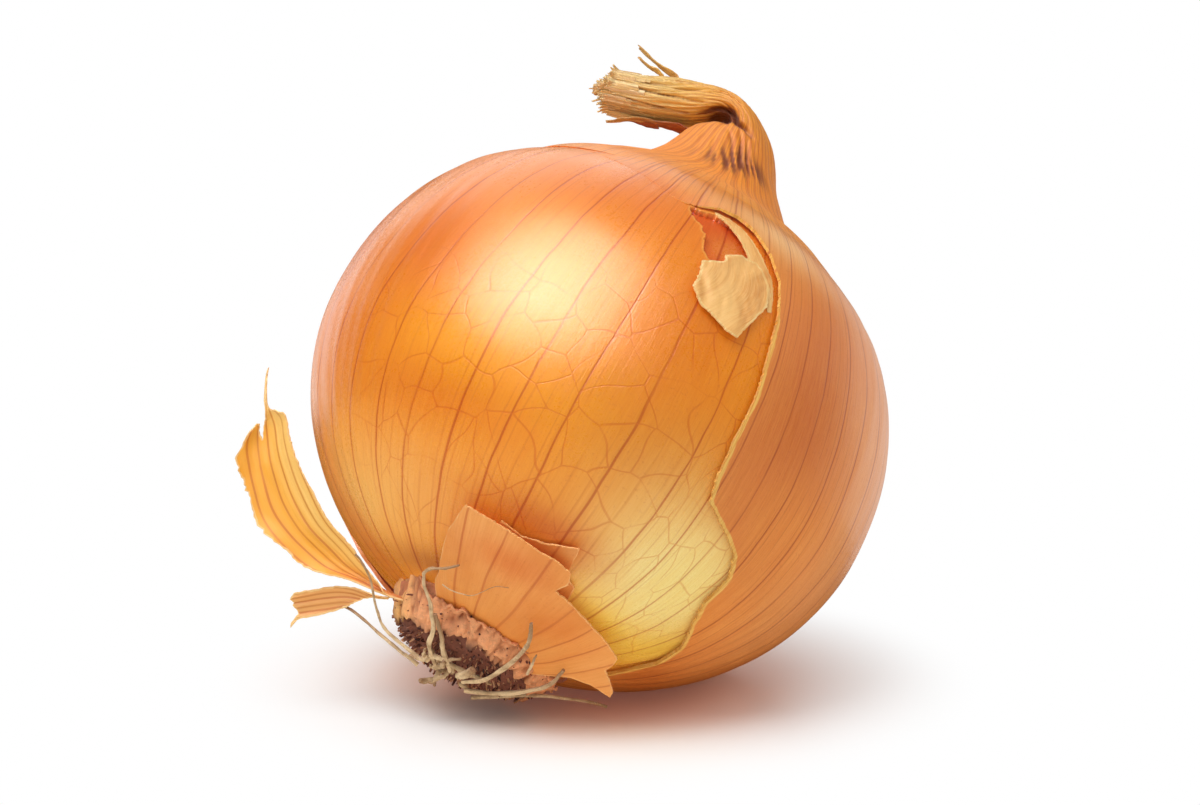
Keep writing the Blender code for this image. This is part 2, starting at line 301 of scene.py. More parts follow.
studio = {
    "lens": 120.0, "distance": 0.5416, "elevation": 12.0, "right": 0.001178, "up": 0.002938,
    # the floor's colour near the contact is a painted warm shadow and reflection of the bulb
    "surroundings": 0.46, "floor": (0.93, 0.93, 0.93), "floorPaintedShadow": (0.80, 0.48, 0.30), "floorRoughness": 0.42,
    "keyFrom": (-0.33, -0.30, 0.90), "keyAway": 0.75, "keySize": 0.62, "keyPower": 4.0,
    "shineFrom": (-0.265, -0.41, 0.872), "shineAway": 0.62,
    "shineSize": 0.76, "shinePower": 12.5, "coreSize": 0.30, "corePower": 1.5,
    # seen only as reflections near the outline: place, width and height, power
    "edgeLights": (
        ((-0.55, 0.835, 0.02), (0.52, 0.50), 1.25), ((-0.156, 0.804, 0.61), (0.80, 0.85), 3.6),
        ((0.66, 0.73, -0.14), (1.00, 0.57), 1.9),
    ),
    "lowFrom": (-0.30, -0.50, -0.50), "lowAway": 0.6, "lowSize": 0.6, "lowPower": 0.8,
    "fillFrom": (0.90, 0.10, 0.40), "fillAway": 0.8, "fillSize": 0.6, "fillPower": 1.5,
}


def lookAt(obj, target):
    obj.rotation_euler = (Vector(target) - obj.location).to_track_quat("-Z", "Y").to_euler()


def addCamera():
    tilt = math.radians(studio["elevation"])
    ahead, up = Vector((0, math.cos(tilt), -math.sin(tilt))), Vector((0, math.sin(tilt), math.cos(tilt)))
    aim = Vector((studio["right"], 0, form["middleHeight"])) + up * studio["up"]
    camera = bpy.data.objects.new("camera", bpy.data.cameras.new("camera"))
    camera.data.lens, camera.data.sensor_width = studio["lens"], 36
    camera.data.clip_start = 0.01
    camera.location = aim - ahead * studio["distance"]
    camera.rotation_euler = (math.radians(90 - studio["elevation"]), 0, 0)
    bpy.context.scene.collection.objects.link(camera)
    bpy.context.scene.camera = camera
    bpy.context.scene.view_settings.view_transform = "Standard"


def softbox(name, direction, away, size, power, diffuse=True, glossy=True):
    light = bpy.data.lights.new(name, "AREA")
    light.shape, light.size, light.energy = "DISK", size, power
    obj = bpy.data.objects.new(name, light)
    obj.location = Vector(direction).normalized() * away + Vector((0, 0, form["middleHeight"]))
    lookAt(obj, (0, 0, form["middleHeight"]))
    obj.visible_diffuse, obj.visible_glossy, obj.visible_camera = diffuse, glossy, False
    bpy.context.scene.collection.objects.link(obj)
    return obj


def addStudio():
    bpy.ops.mesh.primitive_circle_add(vertices=96, radius=4.0, fill_type="NGON", location=(0, 0, 0))
    floor = named("floor")
    white, tree, shader = newFinish("floorWhite", studio["floorRoughness"])
    place = node(tree, "ShaderNodeTexCoord", out=3)
    away = node(tree, "ShaderNodeVectorMath", place, operation="LENGTH", out=1)
    # painted warm shadow and reflection of the bulb on the floor, fading out round where it rests
    colour = mix(tree, ramp(tree, away, 0.012, 0.034), studio["floorPaintedShadow"], studio["floor"])
    wire(tree, shader.inputs["Base Color"], colour)
    glow = node(tree, "ShaderNodeEmission", (1, 1, 1, 1), 1.0)
    whole = node(tree, "ShaderNodeMixShader", ramp(tree, away, 0.024, 0.054), shader.outputs[0], glow)
    tree.links.new(whole, tree.nodes["Material Output"].inputs[0])
    floor.data.materials.append(white)
    floor.visible_glossy = False
    world = bpy.data.worlds.new("surroundings")
    world.use_nodes = True
    world.node_tree.nodes["Background"].inputs[0].default_value = (1, 0.99, 0.975, 1)
    world.node_tree.nodes["Background"].inputs[1].default_value = studio["surroundings"]
    world.cycles_visibility.glossy = False
    bpy.context.scene.world = world
    softbox("key", studio["keyFrom"], studio["keyAway"], studio["keySize"], studio["keyPower"], glossy=False)
    softbox("shine", studio["shineFrom"], studio["shineAway"], studio["shineSize"], studio["shinePower"],
            diffuse=False)
    softbox("shineCore", studio["shineFrom"], studio["shineAway"] - 0.02, studio["coreSize"], studio["corePower"],
            diffuse=False)
    softbox("fill", studio["fillFrom"], studio["fillAway"], studio["fillSize"], studio["fillPower"], glossy=False)
    low = softbox("low", studio["lowFrom"], studio["lowAway"], studio["lowSize"], studio["lowPower"], glossy=False)
    low.data.use_shadow = False
    for i, (place, size, power) in enumerate(studio["edgeLights"]):
        panel = softbox(f"edgeLight{i}", place, Vector(place).length, 0.5, power, diffuse=False)
        panel.data.shape, (panel.data.size, panel.data.size_y) = "RECTANGLE", size
        panel.data.use_shadow = False


deselect()
addCamera()
addStudio()
print("camera, floor and light are up")

# Veins and colours that follow the skin

veinLons = [-84, -74, -64, -54, -43.9, -34.5, -23.8, -13.6, -4.2, 6.8, 18.9, 26.5, 33.5, 40.5, 48.5, 57, 66, 75]
veinLons += [84 + 9.6 * i for i in range(21)]  # evenly round the back, to -84 again
veinCount = len(veinLons) - 1


def veinPhase(lon, lat):
    drifted = lon + 0.25 * np.sin(np.radians(lon - 2)) * np.clip(lat, -70, 40)
    return np.interp((drifted + 84) % 360 - 84, veinLons, np.arange(veinCount + 1))


def grainOf(lon, lat):
    angle = veinPhase(lon, lat) * (math.tau / veinCount)
    ring = veinCount / math.tau
    return np.stack([np.cos(angle) * ring, np.sin(angle) * ring, lat / 10], -1)


def tinted(lon, lat, base, patches):
    colour = np.tile(np.array(rgb(*base)), (len(lon), 1))
    for (lon0, lat0), (wide, high), shade, strength in patches:
        away = ((lon - lon0 + 180) % 360 - 180) / wide
        share = strength * np.exp(-(away**2) - ((lat - lat0) / high) ** 2)[:, None]
        colour = blended(colour, rgb(*shade), share)
    return colour


def followSkin(obj, base, patches, network=None):
    lon, lat = lonLat(places(obj))
    store(obj, "grain", grainOf(lon, lat))
    store(obj, "span", bulbProfile(lat)[0] / mm * math.tau / veinCount)
    mask = np.zeros(len(lon)) if network is None else network(lon, lat)
    store(obj, "tint", np.column_stack([tinted(lon, lat, base, patches), mask]))
    return lon, lat


def ripples(lon, lat, seed, wide=(26, 95), count=34):
    draws = np.random.default_rng(seed)
    total = np.zeros(len(lon))
    for k in np.linspace(*wide, count):
        start, drift = draws.uniform(0, math.tau), draws.uniform(-2, 2)
        total += np.sin(round(k) * np.radians(lon) + start + np.radians(lat) * drift)
    return total / math.sqrt(count)


# The skin's finish: veins that run from root to neck, finer ones between, a faint network, and a fine grain
def skinFinish(name, look):
    finish, tree, shader = newFinish(name, look["roughness"], look["ior"])
    grain = attribute(tree, "grain")
    tint = attribute(tree, "tint", "Color")
    networkHere = attribute(tree, "tint", "Alpha")
    x, y, z = (node(tree, "ShaderNodeSeparateXYZ", grain, out=i) for i in range(3))
    turns = calc(tree, "ARCTAN2", y, x)
    wander = noise(tree, stretched(tree, grain, (0.9, 0.9, 0.45)), 1.0, 2.0)
    phase = calc(tree, "MULTIPLY_ADD", turns, veinCount / math.tau, calc(tree, "MULTIPLY_ADD", wander, 0.22, -0.11))
    span = attribute(tree, "span", "Fac")  # millimetres from one main vein to the next
    fade = noise(tree, stretched(tree, grain, (0.8, 0.8, 0.35), (4, 9, 2)), 1.0, 3.0)
    mmAway = calc(tree, "MULTIPLY", calc(tree, "PINGPONG", phase, 0.5), span)
    core = ramp(tree, mmAway, look["veinWidth"] * 0.35, look["veinWidth"], 1.0, 0.0)
    halo = ramp(tree, mmAway, 0.0, look["veinWidth"] * 3.0, 1.0, 0.0)
    vein = calc(tree, "ADD", calc(tree, "MULTIPLY", core, 0.82), calc(tree, "MULTIPLY", halo, 0.18))
    vein = calc(tree, "MULTIPLY", vein, ramp(tree, fade, 0.25, 0.55, 0.45, 1.0))
    finePhase = calc(tree, "MULTIPLY_ADD", phase, 3.0, 0.5)
    fineAway = calc(tree, "MULTIPLY", calc(tree, "PINGPONG", finePhase, 0.5), span)
    nearNeck = ramp(tree, z, 4.0, 5.2)
    fine = calc(tree, "MULTIPLY", ramp(tree, fineAway, 0.1, 0.5, 1.0, 0.0),
                calc(tree, "MAXIMUM", ramp(tree, fade, 0.42, 0.62, 0.0, 0.4), nearNeck))
    streak = noise(tree, stretched(tree, grain, (26, 26, 0.9)), 1.0, 4.0, 0.6)
    hair = noise(tree, stretched(tree, grain, (70, 70, 3.0)), 1.0, 3.0, 0.6)
    speck = noise(tree, stretched(tree, grain, (16, 16, 14)), 1.0, 3.0, 0.7)
    cloud = noise(tree, stretched(tree, grain, (0.55, 0.55, 0.5), (1, 5, 3)), 1.0, 3.0)

    flat = node(tree, "ShaderNodeCombineXYZ", phase, calc(tree, "MULTIPLY", z, 0.95), 0.0)
    shift = node(tree, "ShaderNodeVectorMath", noiseColour(tree, flat, 1.1), (0.5, 0.5, 0.5), operation="MULTIPLY")
    warped = node(tree, "ShaderNodeVectorMath", flat, shift, operation="ADD")
    cells = tree.nodes.new("ShaderNodeTexVoronoi")
    cells.feature, cells.voronoi_dimensions = "DISTANCE_TO_EDGE", "2D"
    wire(tree, cells.inputs["Vector"], warped)
    cells.inputs["Scale"].default_value = 1.2
    lines = ramp(tree, cells.outputs["Distance"], 0.007, 0.030, 1.0, 0.0)
    patchy = noise(tree, stretched(tree, grain, (0.9, 0.9, 0.9), (7, 1, 8)), 1.0, 2.0)
    shown = ramp(tree, patchy, 0.34, 0.52, 0.15, 1.0)
    network = calc(tree, "MULTIPLY", calc(tree, "MULTIPLY", lines, shown), networkHere)

    colour = mix(tree, ramp(tree, streak, 0.3, 0.7, 0.0, look["streaks"]), tint,
                 shaded(tree, tint, look["streakShade"]))
    colour = mix(tree, ramp(tree, hair, 0.35, 0.75, 0.0, look["hairs"]), colour, look["hairShade"])
    colour = mix(tree, ramp(tree, cloud, 0.35, 0.7, 0.0, look["clouds"]), colour,
                 shaded(tree, tint, look["cloudShade"]))
    colour = mix(tree, ramp(tree, speck, 0.55, 0.75, 0.0, 0.25), colour, shaded(tree, colour, look["veinShade"]))
    colour = mix(tree, calc(tree, "MULTIPLY", fine, look["fineVeins"]), colour,
                 shaded(tree, colour, look["veinShade"]))
    colour = mix(tree, calc(tree, "MULTIPLY", vein, look["veins"]), colour, shaded(tree, tint, look["veinShade"]))
    colour = mix(tree, calc(tree, "MULTIPLY", network, 0.62), colour, shaded(tree, tint, (0.78, 0.50, 0.36)))
    if "rim" in look:  # paler, thinner skin along a tear
        edge = attribute(tree, "edgeMm", "Fac")
        ragged = calc(tree, "MULTIPLY_ADD", noise(tree, stretched(tree, grain, (3, 3, 3)), 1.0, 3.0), 0.5, -0.25)
        rim = ramp(tree, calc(tree, "ADD", edge, ragged), look["rimWidth"] * 0.8, look["rimWidth"] * 1.12, 1.0, 0.0)
        colour = mix(tree, rim, colour, mix(tree, ramp(tree, streak, 0.3, 0.7), look["rim"], look["rimDeep"]))
        # a painted shadow line right along the torn edge
        dark = calc(tree, "MULTIPLY", ramp(tree, edge, 0.02, 0.12, 1.0, 0.0), look["rimShadowLine"])
        colour = mix(tree, dark, colour, look["rimShadowColour"])
    if "shadeAndTone" in look:
        # painted shade in the neck's creases, pleats and folds, under its tube and inside its end, with random
        # darker tone of straws and strips, read from an attribute
        shadeAndTone = calc(tree, "MULTIPLY_ADD", streak, 0.5, calc(tree, "ADD", attribute(tree, "shadeAndTone", "Fac"), -0.25))
        colour = mix(tree, ramp(tree, shadeAndTone, 0.05, 0.85, 0.0, 0.9), colour, look["shadeAndTone"])
    wire(tree, shader.inputs["Base Color"], colour)
    rough = calc(tree, "ADD", calc(tree, "MULTIPLY", cloud, 0.5), calc(tree, "MULTIPLY", speck, 0.5))
    rough = ramp(tree, rough, 0.3, 0.7, look["roughness"] - 0.04, look["roughness"] + 0.07)
    if "lowRoughness" in look:  # the skirt is as shiny as the skin that it lies on
        shinier = look["lowRoughness"] / look["roughness"]
        rough = calc(tree, "MULTIPLY", rough, ramp(tree, z, 5.0, 6.6, shinier, 1.0))
    wire(tree, shader.inputs["Roughness"], rough)
    height = calc(tree, "MULTIPLY", speck, 0.25)
    for part, amount in ((network, -0.25), (vein, -0.35), (hair, 0.35), (streak, 0.55)):
        height = calc(tree, "MULTIPLY_ADD", part, amount, height)
    bump(tree, shader, height, look["bump"], 0.00012)
    return finish


def noiseColour(tree, vector, scale):
    made = tree.nodes.new("ShaderNodeTexNoise")
    wire(tree, made.inputs["Vector"], vector)
    made.inputs["Scale"].default_value = scale
    made.inputs["Detail"].default_value = 0.0
    return made.outputs["Color"]


# Torn sheets: an outline in degrees, cut from a fine grid, then laid on the bulb

def ragged(outline, step, amount, seed, plain=()):  # breaks each side of an outline into small uneven steps
    draws = np.random.default_rng(seed)
    made = []
    for i, (start, end) in enumerate(zip(outline, outline[1:] + outline[:1])):
        start, end = np.array(start, float), np.array(end, float)
        made.append(start)
        if i in plain:
            continue
        long = np.linalg.norm(end - start)
        side = np.array([start[1] - end[1], end[0] - start[0]]) / max(long, 1e-9)
        count = max(1, round(long / step))
        for k in range(1, count):
            made.append(start + (end - start) * (k / count) + side * draws.normal(0, 1) * amount)
    return made


def prism(outline, low, high):
    bpy.ops.mesh.primitive_circle_add(vertices=len(outline), radius=1, fill_type="NGON", location=(0, 0, 0))
    obj = named("prism")
    movePlaces(obj, np.array([(x, y, low) for x, y in outline]))
    bpy.ops.object.mode_set(mode="EDIT")
    bpy.ops.mesh.select_all(action="SELECT")
    bpy.ops.mesh.extrude_region_move(TRANSFORM_OT_translate={"value": (0, 0, high - low)})
    bpy.ops.mesh.select_all(action="SELECT")
    bpy.ops.mesh.normals_make_consistent(inside=False)
    bpy.ops.object.mode_set(mode="OBJECT")
    return obj


def tornSheet(name, outline, step):  # a flat sheet in degrees, x for longitude and y for latitude
    deselect()
    low, high = np.min(outline, 0) - 0.3, np.max(outline, 0) + 0.3
    if np.ptp(outline, 0)[0] > 359:
        low[0], high[0] = np.min(outline, 0)[0] - step[0] / 2, np.max(outline, 0)[0] + step[0] / 2
    count = [max(2, round((high[i] - low[i]) / step[i])) for i in (0, 1)]
    bpy.ops.mesh.primitive_grid_add(x_subdivisions=count[0], y_subdivisions=count[1], size=1, location=(0, 0, 0))
    slab = named(name)
    movePlaces(slab, places(slab) * [*(high - low), 0] + [*((low + high) / 2), 0])
    bpy.ops.object.mode_set(mode="EDIT")
    bpy.ops.mesh.select_all(action="SELECT")
    bpy.ops.mesh.extrude_region_move(TRANSFORM_OT_translate={"value": (0, 0, 1)})
    bpy.ops.mesh.select_all(action="SELECT")
    bpy.ops.mesh.normals_make_consistent(inside=False)
    bpy.ops.object.mode_set(mode="OBJECT")
    deselect()
    cutter = prism(outline, -1, 2)
    applied(slab, "BOOLEAN", operation="INTERSECT", solver="EXACT", object=cutter)
    bpy.data.objects.remove(cutter)
    chooseFaces(slab, lambda face: face.normal.z < 0.5)
    bpy.ops.mesh.delete(type="FACE")
    bpy.ops.mesh.select_all(action="SELECT")
    bpy.ops.mesh.remove_doubles(threshold=0.02)
    bpy.ops.mesh.select_all(action="DESELECT")
    bpy.ops.mesh.select_face_by_sides(number=4, type="GREATER")
    bpy.ops.mesh.quads_convert_to_tris()
    bpy.ops.object.mode_set(mode="OBJECT")
    return slab


def mmFrom(lon, lat, line):  # how far each place is from a line of (longitude, latitude), in millimetres
    perDegree = form["radius"] / mm * math.pi / 180
    nearest = np.full(len(lon), 1e9)
    for (lonA, latA), (lonB, latB) in zip(line, line[1:]):
        squeeze = math.cos(math.radians((latA + latB) / 2))
        ax, ay = (lon - lonA) * squeeze, lat - latA
        bx, by = (lonB - lonA) * squeeze, latB - latA
        along = np.clip((ax * bx + ay * by) / max(bx * bx + by * by, 1e-12), 0, 1)
        nearest = np.minimum(nearest, np.hypot(ax - along * bx, ay - along * by))
    return nearest * perDegree


def depthInside(lon, lat, outline):  # millimetres inside the outline, negative outside
    inside = np.zeros(len(lon), bool)
    for (lonA, latA), (lonB, latB) in zip(outline, [*outline[1:], outline[0]]):
        crosses = (latA > lat) != (latB > lat)
        with np.errstate(divide="ignore", invalid="ignore"):
            inside ^= crosses & (lon < (lonB - lonA) * (lat - latA) / (latB - latA) + lonA)
    away = mmFrom(lon, lat, [*outline, outline[0]])
    return np.where(inside, away, -away)


# The bulb

bulbShape = {
    "segments": 330, "rings": 216, "rippleDepth": 0.045, "poolFloor": 0.00085, "tearCuts": 4,
    "tornPlace": [
        (-4, 38), (-2.8, 35.5), (0, 34), (2, 31.5), (3.2, 27), (5.5, 25.2), (7.6, 26.8), (9, 29.6),
        (15.3, 30.4), (14.4, 33.4), (11.4, 37.2), (7.4, 40.2), (2, 39.9), (-1.5, 38.4),
    ],
}
bulbLook = {
    "fineVeins": 0.6, "roughness": 0.28, "ior": 1.5, "bump": 0.42, "veinWidth": 0.18, "veins": 0.78,
    "veinShade": (0.60, 0.27, 0.22),
    "streaks": 0.65, "streakShade": (0.92, 0.78, 0.56), "hairs": 0.16, "hairShade": rgb(252, 190, 70),
    "clouds": 0.35, "cloudShade": (1.0, 0.86, 0.62),
}
bulbTint = (244, 150, 22)
# Some of these patches paint light and shade: those at (-80, -46), (-64, -52) and (42, -58) are painted light on
# the shaded underside, the dark band at (0, -45) is painted shadow along the root flake's edge, and the pale bared
# skin at (38, -42) and (44, -38) is paler skin with a painted glow of light through it.
bulbPatchesWithPaintedLight = [
    ((-78, 5), (16, 34), (214, 102, 18), 0.85), ((-50, 6), (14, 22), (216, 100, 14), 0.85),
    ((-80, -46), (16, 13), (255, 176, 66), 0.9), ((-15, 32), (60, 14), (230, 124, 46), 0.9),
    ((-40, -50), (44, 18), (250, 172, 88), 0.85), ((-30, -18), (22, 12), (252, 166, 16), 0.8),
    ((-36, -27), (26, 8), (222, 110, 8), 0.7), ((-62, -16), (12, 12), (220, 108, 20), 0.6),
    ((12, -12), (16, 26), (220, 134, 18), 0.75), ((8, 8), (14, 18), (226, 118, 22), 0.7),
    ((38, -42), (24, 21), (255, 238, 164), 1.0), ((44, -38), (17, 16), (252, 234, 150), 0.9),
    ((62, -50), (10, 10), (236, 206, 80), 0.8), ((42, -58), (28, 7), (255, 216, 74), 0.9),
    ((0, -45), (20, 6), (204, 86, 8), 0.8), ((180, 0), (95, 80), (226, 134, 56), 0.9),
    ((-64, -52), (26, 11), (253, 194, 108), 0.85), ((-20, 43), (14, 8), (222, 118, 48), 0.5),
    ((-35, -66), (34, 4), (186, 108, 50), 0.8),
]
# the floor of the torn place is a deeper, redder layer; its lighter patch at (9, 31) is painted light falling into
# the hole
floorTint, holeFloorPaintedLight = (212, 84, 26), [((9, 31), (6, 5), (232, 138, 66), 0.8)]


def networkOnFront(lon, lat):
    left, right = smooth(-66, -48, lon), 1 - smooth(60, 74, lon)
    return left * right * smooth(-66, -50, lat) * (1 - smooth(6, 20, lat - 0.25 * lon))


def buildBulb():
    deselect()
    bpy.ops.mesh.primitive_uv_sphere_add(segments=bulbShape["segments"], ring_count=bulbShape["rings"],
                                         radius=form["radius"], location=(0, 0, 0))
    bulb = named("onionBulb")
    co = places(bulb)
    lon = np.degrees(np.arctan2(co[:, 1], co[:, 0]))
    lat = np.degrees(np.arcsin(np.clip(co[:, 2] / form["radius"], -1, 1)))
    strong = 0.25 + 0.75 * smooth(35, 62, np.abs(lon)) * (1 - smooth(40, 60, np.abs(lat)))
    co = onBulb(lon, np.clip(lat, -89.9, 89.9), ripples(lon, lat, 3) * bulbShape["rippleDepth"] * mm * strong)
    movePlaces(bulb, raised(co, bulbShape["poolFloor"]))
    faceOut(bulb, 1e-5)

    torn = ragged(bulbShape["tornPlace"], 0.55, 0.2, 5)
    wide, high = np.min(torn, 0) - 1.5, np.max(torn, 0) + 1.5
    centres = np.array([face.center for face in bulb.data.polygons])
    lon, lat = lonLat(centres)
    inside = (lon > wide[0]) & (lon < high[0]) & (lat > wide[1]) & (lat < high[1])
    chooseFaces(bulb, lambda face: inside[face.index])
    bpy.ops.mesh.subdivide(number_cuts=bulbShape["tearCuts"])
    bpy.ops.object.mode_set(mode="OBJECT")
    co = places(bulb)
    lon, lat = lonLat(co)
    within = depthInside(lon, lat, torn)
    sunk = smooth(-0.05, 0.16, within)
    deep = (lon > wide[0] - 2) & (lon < high[0] + 2) & (lat > wide[1] - 2) & (lat < high[1] + 2)
    co[deep] = onBulb(lon[deep], lat[deep], -layers["tear"] * sunk[deep])
    movePlaces(bulb, co)
    bulb.data.materials.append(skinFinish("bulbSkin", bulbLook))
    lon, lat = followSkin(bulb, bulbTint, bulbPatchesWithPaintedLight, networkOnFront)
    tint = np.column_stack([tinted(lon, lat, bulbTint, bulbPatchesWithPaintedLight), networkOnFront(lon, lat)])
    sunk = (smooth(-0.02, 0.12, within) * deep)[:, None]
    lip = (hump(within, -0.18, 0.2) * deep)[:, None] * 0.55  # the torn edge of the skin is paler
    tint[:, :3] = blended(tint[:, :3], rgb(244, 180, 96), lip)
    # the sunk floor of the torn place takes the deeper layer's colour, with its painted light
    tint[:, :3] = blended(tint[:, :3], tinted(lon, lat, floorTint, holeFloorPaintedLight), sunk)
    tint[:, 3] *= 1 - sunk[:, 0]
    store(bulb, "tint", tint)
    softShade(bulb, 35)
    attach(bulb, "root")
    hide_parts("bulb")
    print("bulb", len(bulb.data.polygons), "faces")
    return bulb


buildBulb()

# The papery outer skin, torn open down the front

outerShape = {
    "step": (1.2, 1.2), "rippleDepth": 0.035, "curl": 0.00014, "curlWide": 2.2, "thick": 0.00045,
    "tear": [
        (84, -70), (72, -60), (68, -52), (62, -46), (53, -41), (48, -36), (46, -29), (42, -25), (34, -22),
        (28.5, -20), (26.5, -15), (25, -7), (24.5, 4), (23, 14), (21.8, 24), (20.5, 30), (17, 36), (12, 40.5),
        (7, 42), (2, 41.5), (-2, 39.2), (-5.5, 38.2), (-9.2, 38.5),
    ],
    "fadingEdge": [(-9.2, 38.5), (-20, 43), (-45, 49), (-80, 52), (-120, 50)],
    "back": [(-120, 61.5), (240, 61.5), (240, 50), (236, 30), (240, 4), (231, -22), (236, -44), (229, -60),
             (232, -70)],
}
outerLook = {
    "fineVeins": 0.8, "roughness": 0.34, "ior": 1.5, "bump": 0.42, "veinWidth": 0.20, "veins": 0.85,
    "veinShade": (0.58, 0.36, 0.36),
    "streaks": 0.8, "streakShade": (0.88, 0.72, 0.56), "hairs": 0.16, "hairShade": rgb(252, 190, 80),
    "clouds": 0.45, "cloudShade": (0.96, 0.82, 0.62),
    "rim": rgb(240, 190, 96), "rimDeep": rgb(226, 158, 66), "rimWidth": 0.5, "rimShadowLine": 0.35,
    "rimShadowColour": rgb(150, 90, 30),
}
outerTint = (232, 146, 70)
# Two patches paint light and shade: the paler, pinker band at (74, 15) is partly the skin's own colour and partly
# painted sheen along the right edge, and the darker patch at (60, -56) is painted shade on the underside.
outerPatchesWithPaintedLight = [
    ((36, 8), (14, 30), (204, 104, 44), 0.85), ((55, -14), (24, 12), (240, 144, 62), 0.7),
    ((50, -45), (28, 20), (232, 136, 50), 0.7), ((74, 15), (16, 50), (236, 168, 116), 0.8),
    ((110, -10), (30, 50), (222, 134, 66), 0.8), ((60, -56), (40, 9), (196, 92, 26), 0.7),
    ((-55, 57), (85, 8), (228, 126, 4), 1.0), ((60, 58), (60, 9), (238, 152, 44), 0.9),
    ((180, 57), (70, 9), (240, 146, 26), 1.0), ((180, -10), (60, 60), (226, 138, 62), 0.8),
    ((20, 45), (18, 7), (255, 204, 144), 0.9),
]


def shoulderTint(lon, lat):  # the outer skin's colour, which becomes the bulb's own where it runs out
    away = mmFrom((lon + 120) % 360 - 120, lat, outerShape["fadingEdge"])[:, None]
    own, below = tinted(lon, lat, outerTint, outerPatchesWithPaintedLight), tinted(lon, lat, bulbTint, bulbPatchesWithPaintedLight)
    share = smooth(0, 7, away)
    share = np.where((((lon + 120) % 360 - 120) > 4)[:, None], 1.0, share)
    return blended(below, own, share)


def buildOuterSkin():
    shape = outerShape
    tear = shape["tear"]
    outline = ragged(tear, 0.5, 0.10, 11, plain=(len(tear) - 1,))
    outline = outline + [np.array(p, float) for p in shape["fadingEdge"][1:]]
    skin = tornSheet("outerSkin", outline + [np.array(p, float) for p in shape["back"]], shape["step"])
    flat = places(skin)
    lon, lat = flat[:, 0], flat[:, 1]
    edge = mmFrom(lon, lat, tear)
    faded = mmFrom(lon, lat, shape["fadingEdge"])
    near = hump(edge, 0, shape["curlWide"])
    sides = 0.4 + 0.6 * smooth(40, 60, np.abs(lon))
    rise = layers["gap"] + layers["skin"] + ripples(lon, lat, 8, (30, 110)) * shape["rippleDepth"] * mm * sides
    rise += shape["curl"] * near * (0.5 + 0.5 * smooth(10, 36, lat)) * smooth(-12, 2, lon)
    thin = smooth(0, 9, faded)  # the skin runs out to nothing beside the neck
    thin = np.where(lon > 30, 1, thin)
    rise = rise * thin + 0.00002
    movePlaces(skin, onBulb(lon, lat, rise))
    movePlaces(skin, raised(places(skin), 0.00002))
    store(skin, "edgeMm", edge * (1 + 6 * smooth(20, 30, lat)))
    group = skin.vertex_groups.new(name="thin")
    for i, share in enumerate(np.maximum(thin, 0.06)):
        if i < len(skin.data.vertices):
            group.add([i], float(share), "REPLACE")
    applied(skin, "SOLIDIFY", thickness=shape["thick"], offset=-1.0, vertex_group="thin",
            thickness_vertex_group=0.04)
    weld(skin, 1e-6)
    movePlaces(skin, raised(places(skin), 0.00002))
    lon, lat = followSkin(skin, outerTint, outerPatchesWithPaintedLight)
    store(skin, "tint", np.column_stack([shoulderTint(lon, lat), np.zeros(len(lon))]))
    softShade(skin, 40)
    handOver(skin, skinFinish("outerSkinPaper", outerLook), "outer_skin", "outer_skin")
    print("outer skin", len(skin.data.polygons), "faces")


buildOuterSkin()

# Smooth curves, noise and ribbons

def through(points, share):  # places on the smooth curve through these points, share from 0 to 1
    points = np.asarray(points, float)
    place = np.clip(np.asarray(share, float), 0, 1) * (len(points) - 1)
    i = np.minimum(place.astype(int), len(points) - 2)
    t = (place - i)[..., None]
    a, b, c, d = (points[np.clip(i + k, 0, len(points) - 1)] for k in (-1, 0, 1, 2))
    return 0.5 * (2 * b + (c - a) * t + (2 * a - 5 * b + 4 * c - d) * t**2 + (3 * b - a - 3 * c + d) * t**3)


def lattice(x, y, across, seed):  # smooth noise from -1 to 1 that repeats every `across` in x
    table = np.random.default_rng(seed).uniform(-1, 1, (across, 97))
    xi, yi = np.floor(x).astype(int), np.floor(y).astype(int)
    fx, fy = x - xi, y - yi
    fx, fy = fx * fx * (3 - 2 * fx), fy * fy * (3 - 2 * fy)
    low = table[xi % across, yi % 97] * (1 - fx) + table[(xi + 1) % across, yi % 97] * fx
    high = table[xi % across, (yi + 1) % 97] * (1 - fx) + table[(xi + 1) % across, (yi + 1) % 97] * fx
    return low * (1 - fy) + high * fy


def unit(vectors):
    return vectors / np.maximum(np.linalg.norm(vectors, axis=-1, keepdims=True), 1e-12)


def gridSheet(name, rows, columns):  # a flat grid whose rows x columns of vertices are then placed
    deselect()
    bpy.ops.mesh.primitive_grid_add(x_subdivisions=columns - 1, y_subdivisions=rows - 1, size=2, location=(0, 0, 0))
    sheet = named(name)
    flat = places(sheet)
    return sheet, (flat[:, 0] + 1) / 2, (flat[:, 1] + 1) / 2


def pieceName(node):  # root_front_left gives rootFrontLeft
    first, *rest = node.split("_")
    return first + "".join(word.title() for word in rest)


def joined(name, parts):
    deselect()
    for part in parts:
        part.select_set(True)
    bpy.context.view_layer.objects.active = parts[0]
    if len(parts) > 1:
        bpy.ops.object.join()
    return named(name)


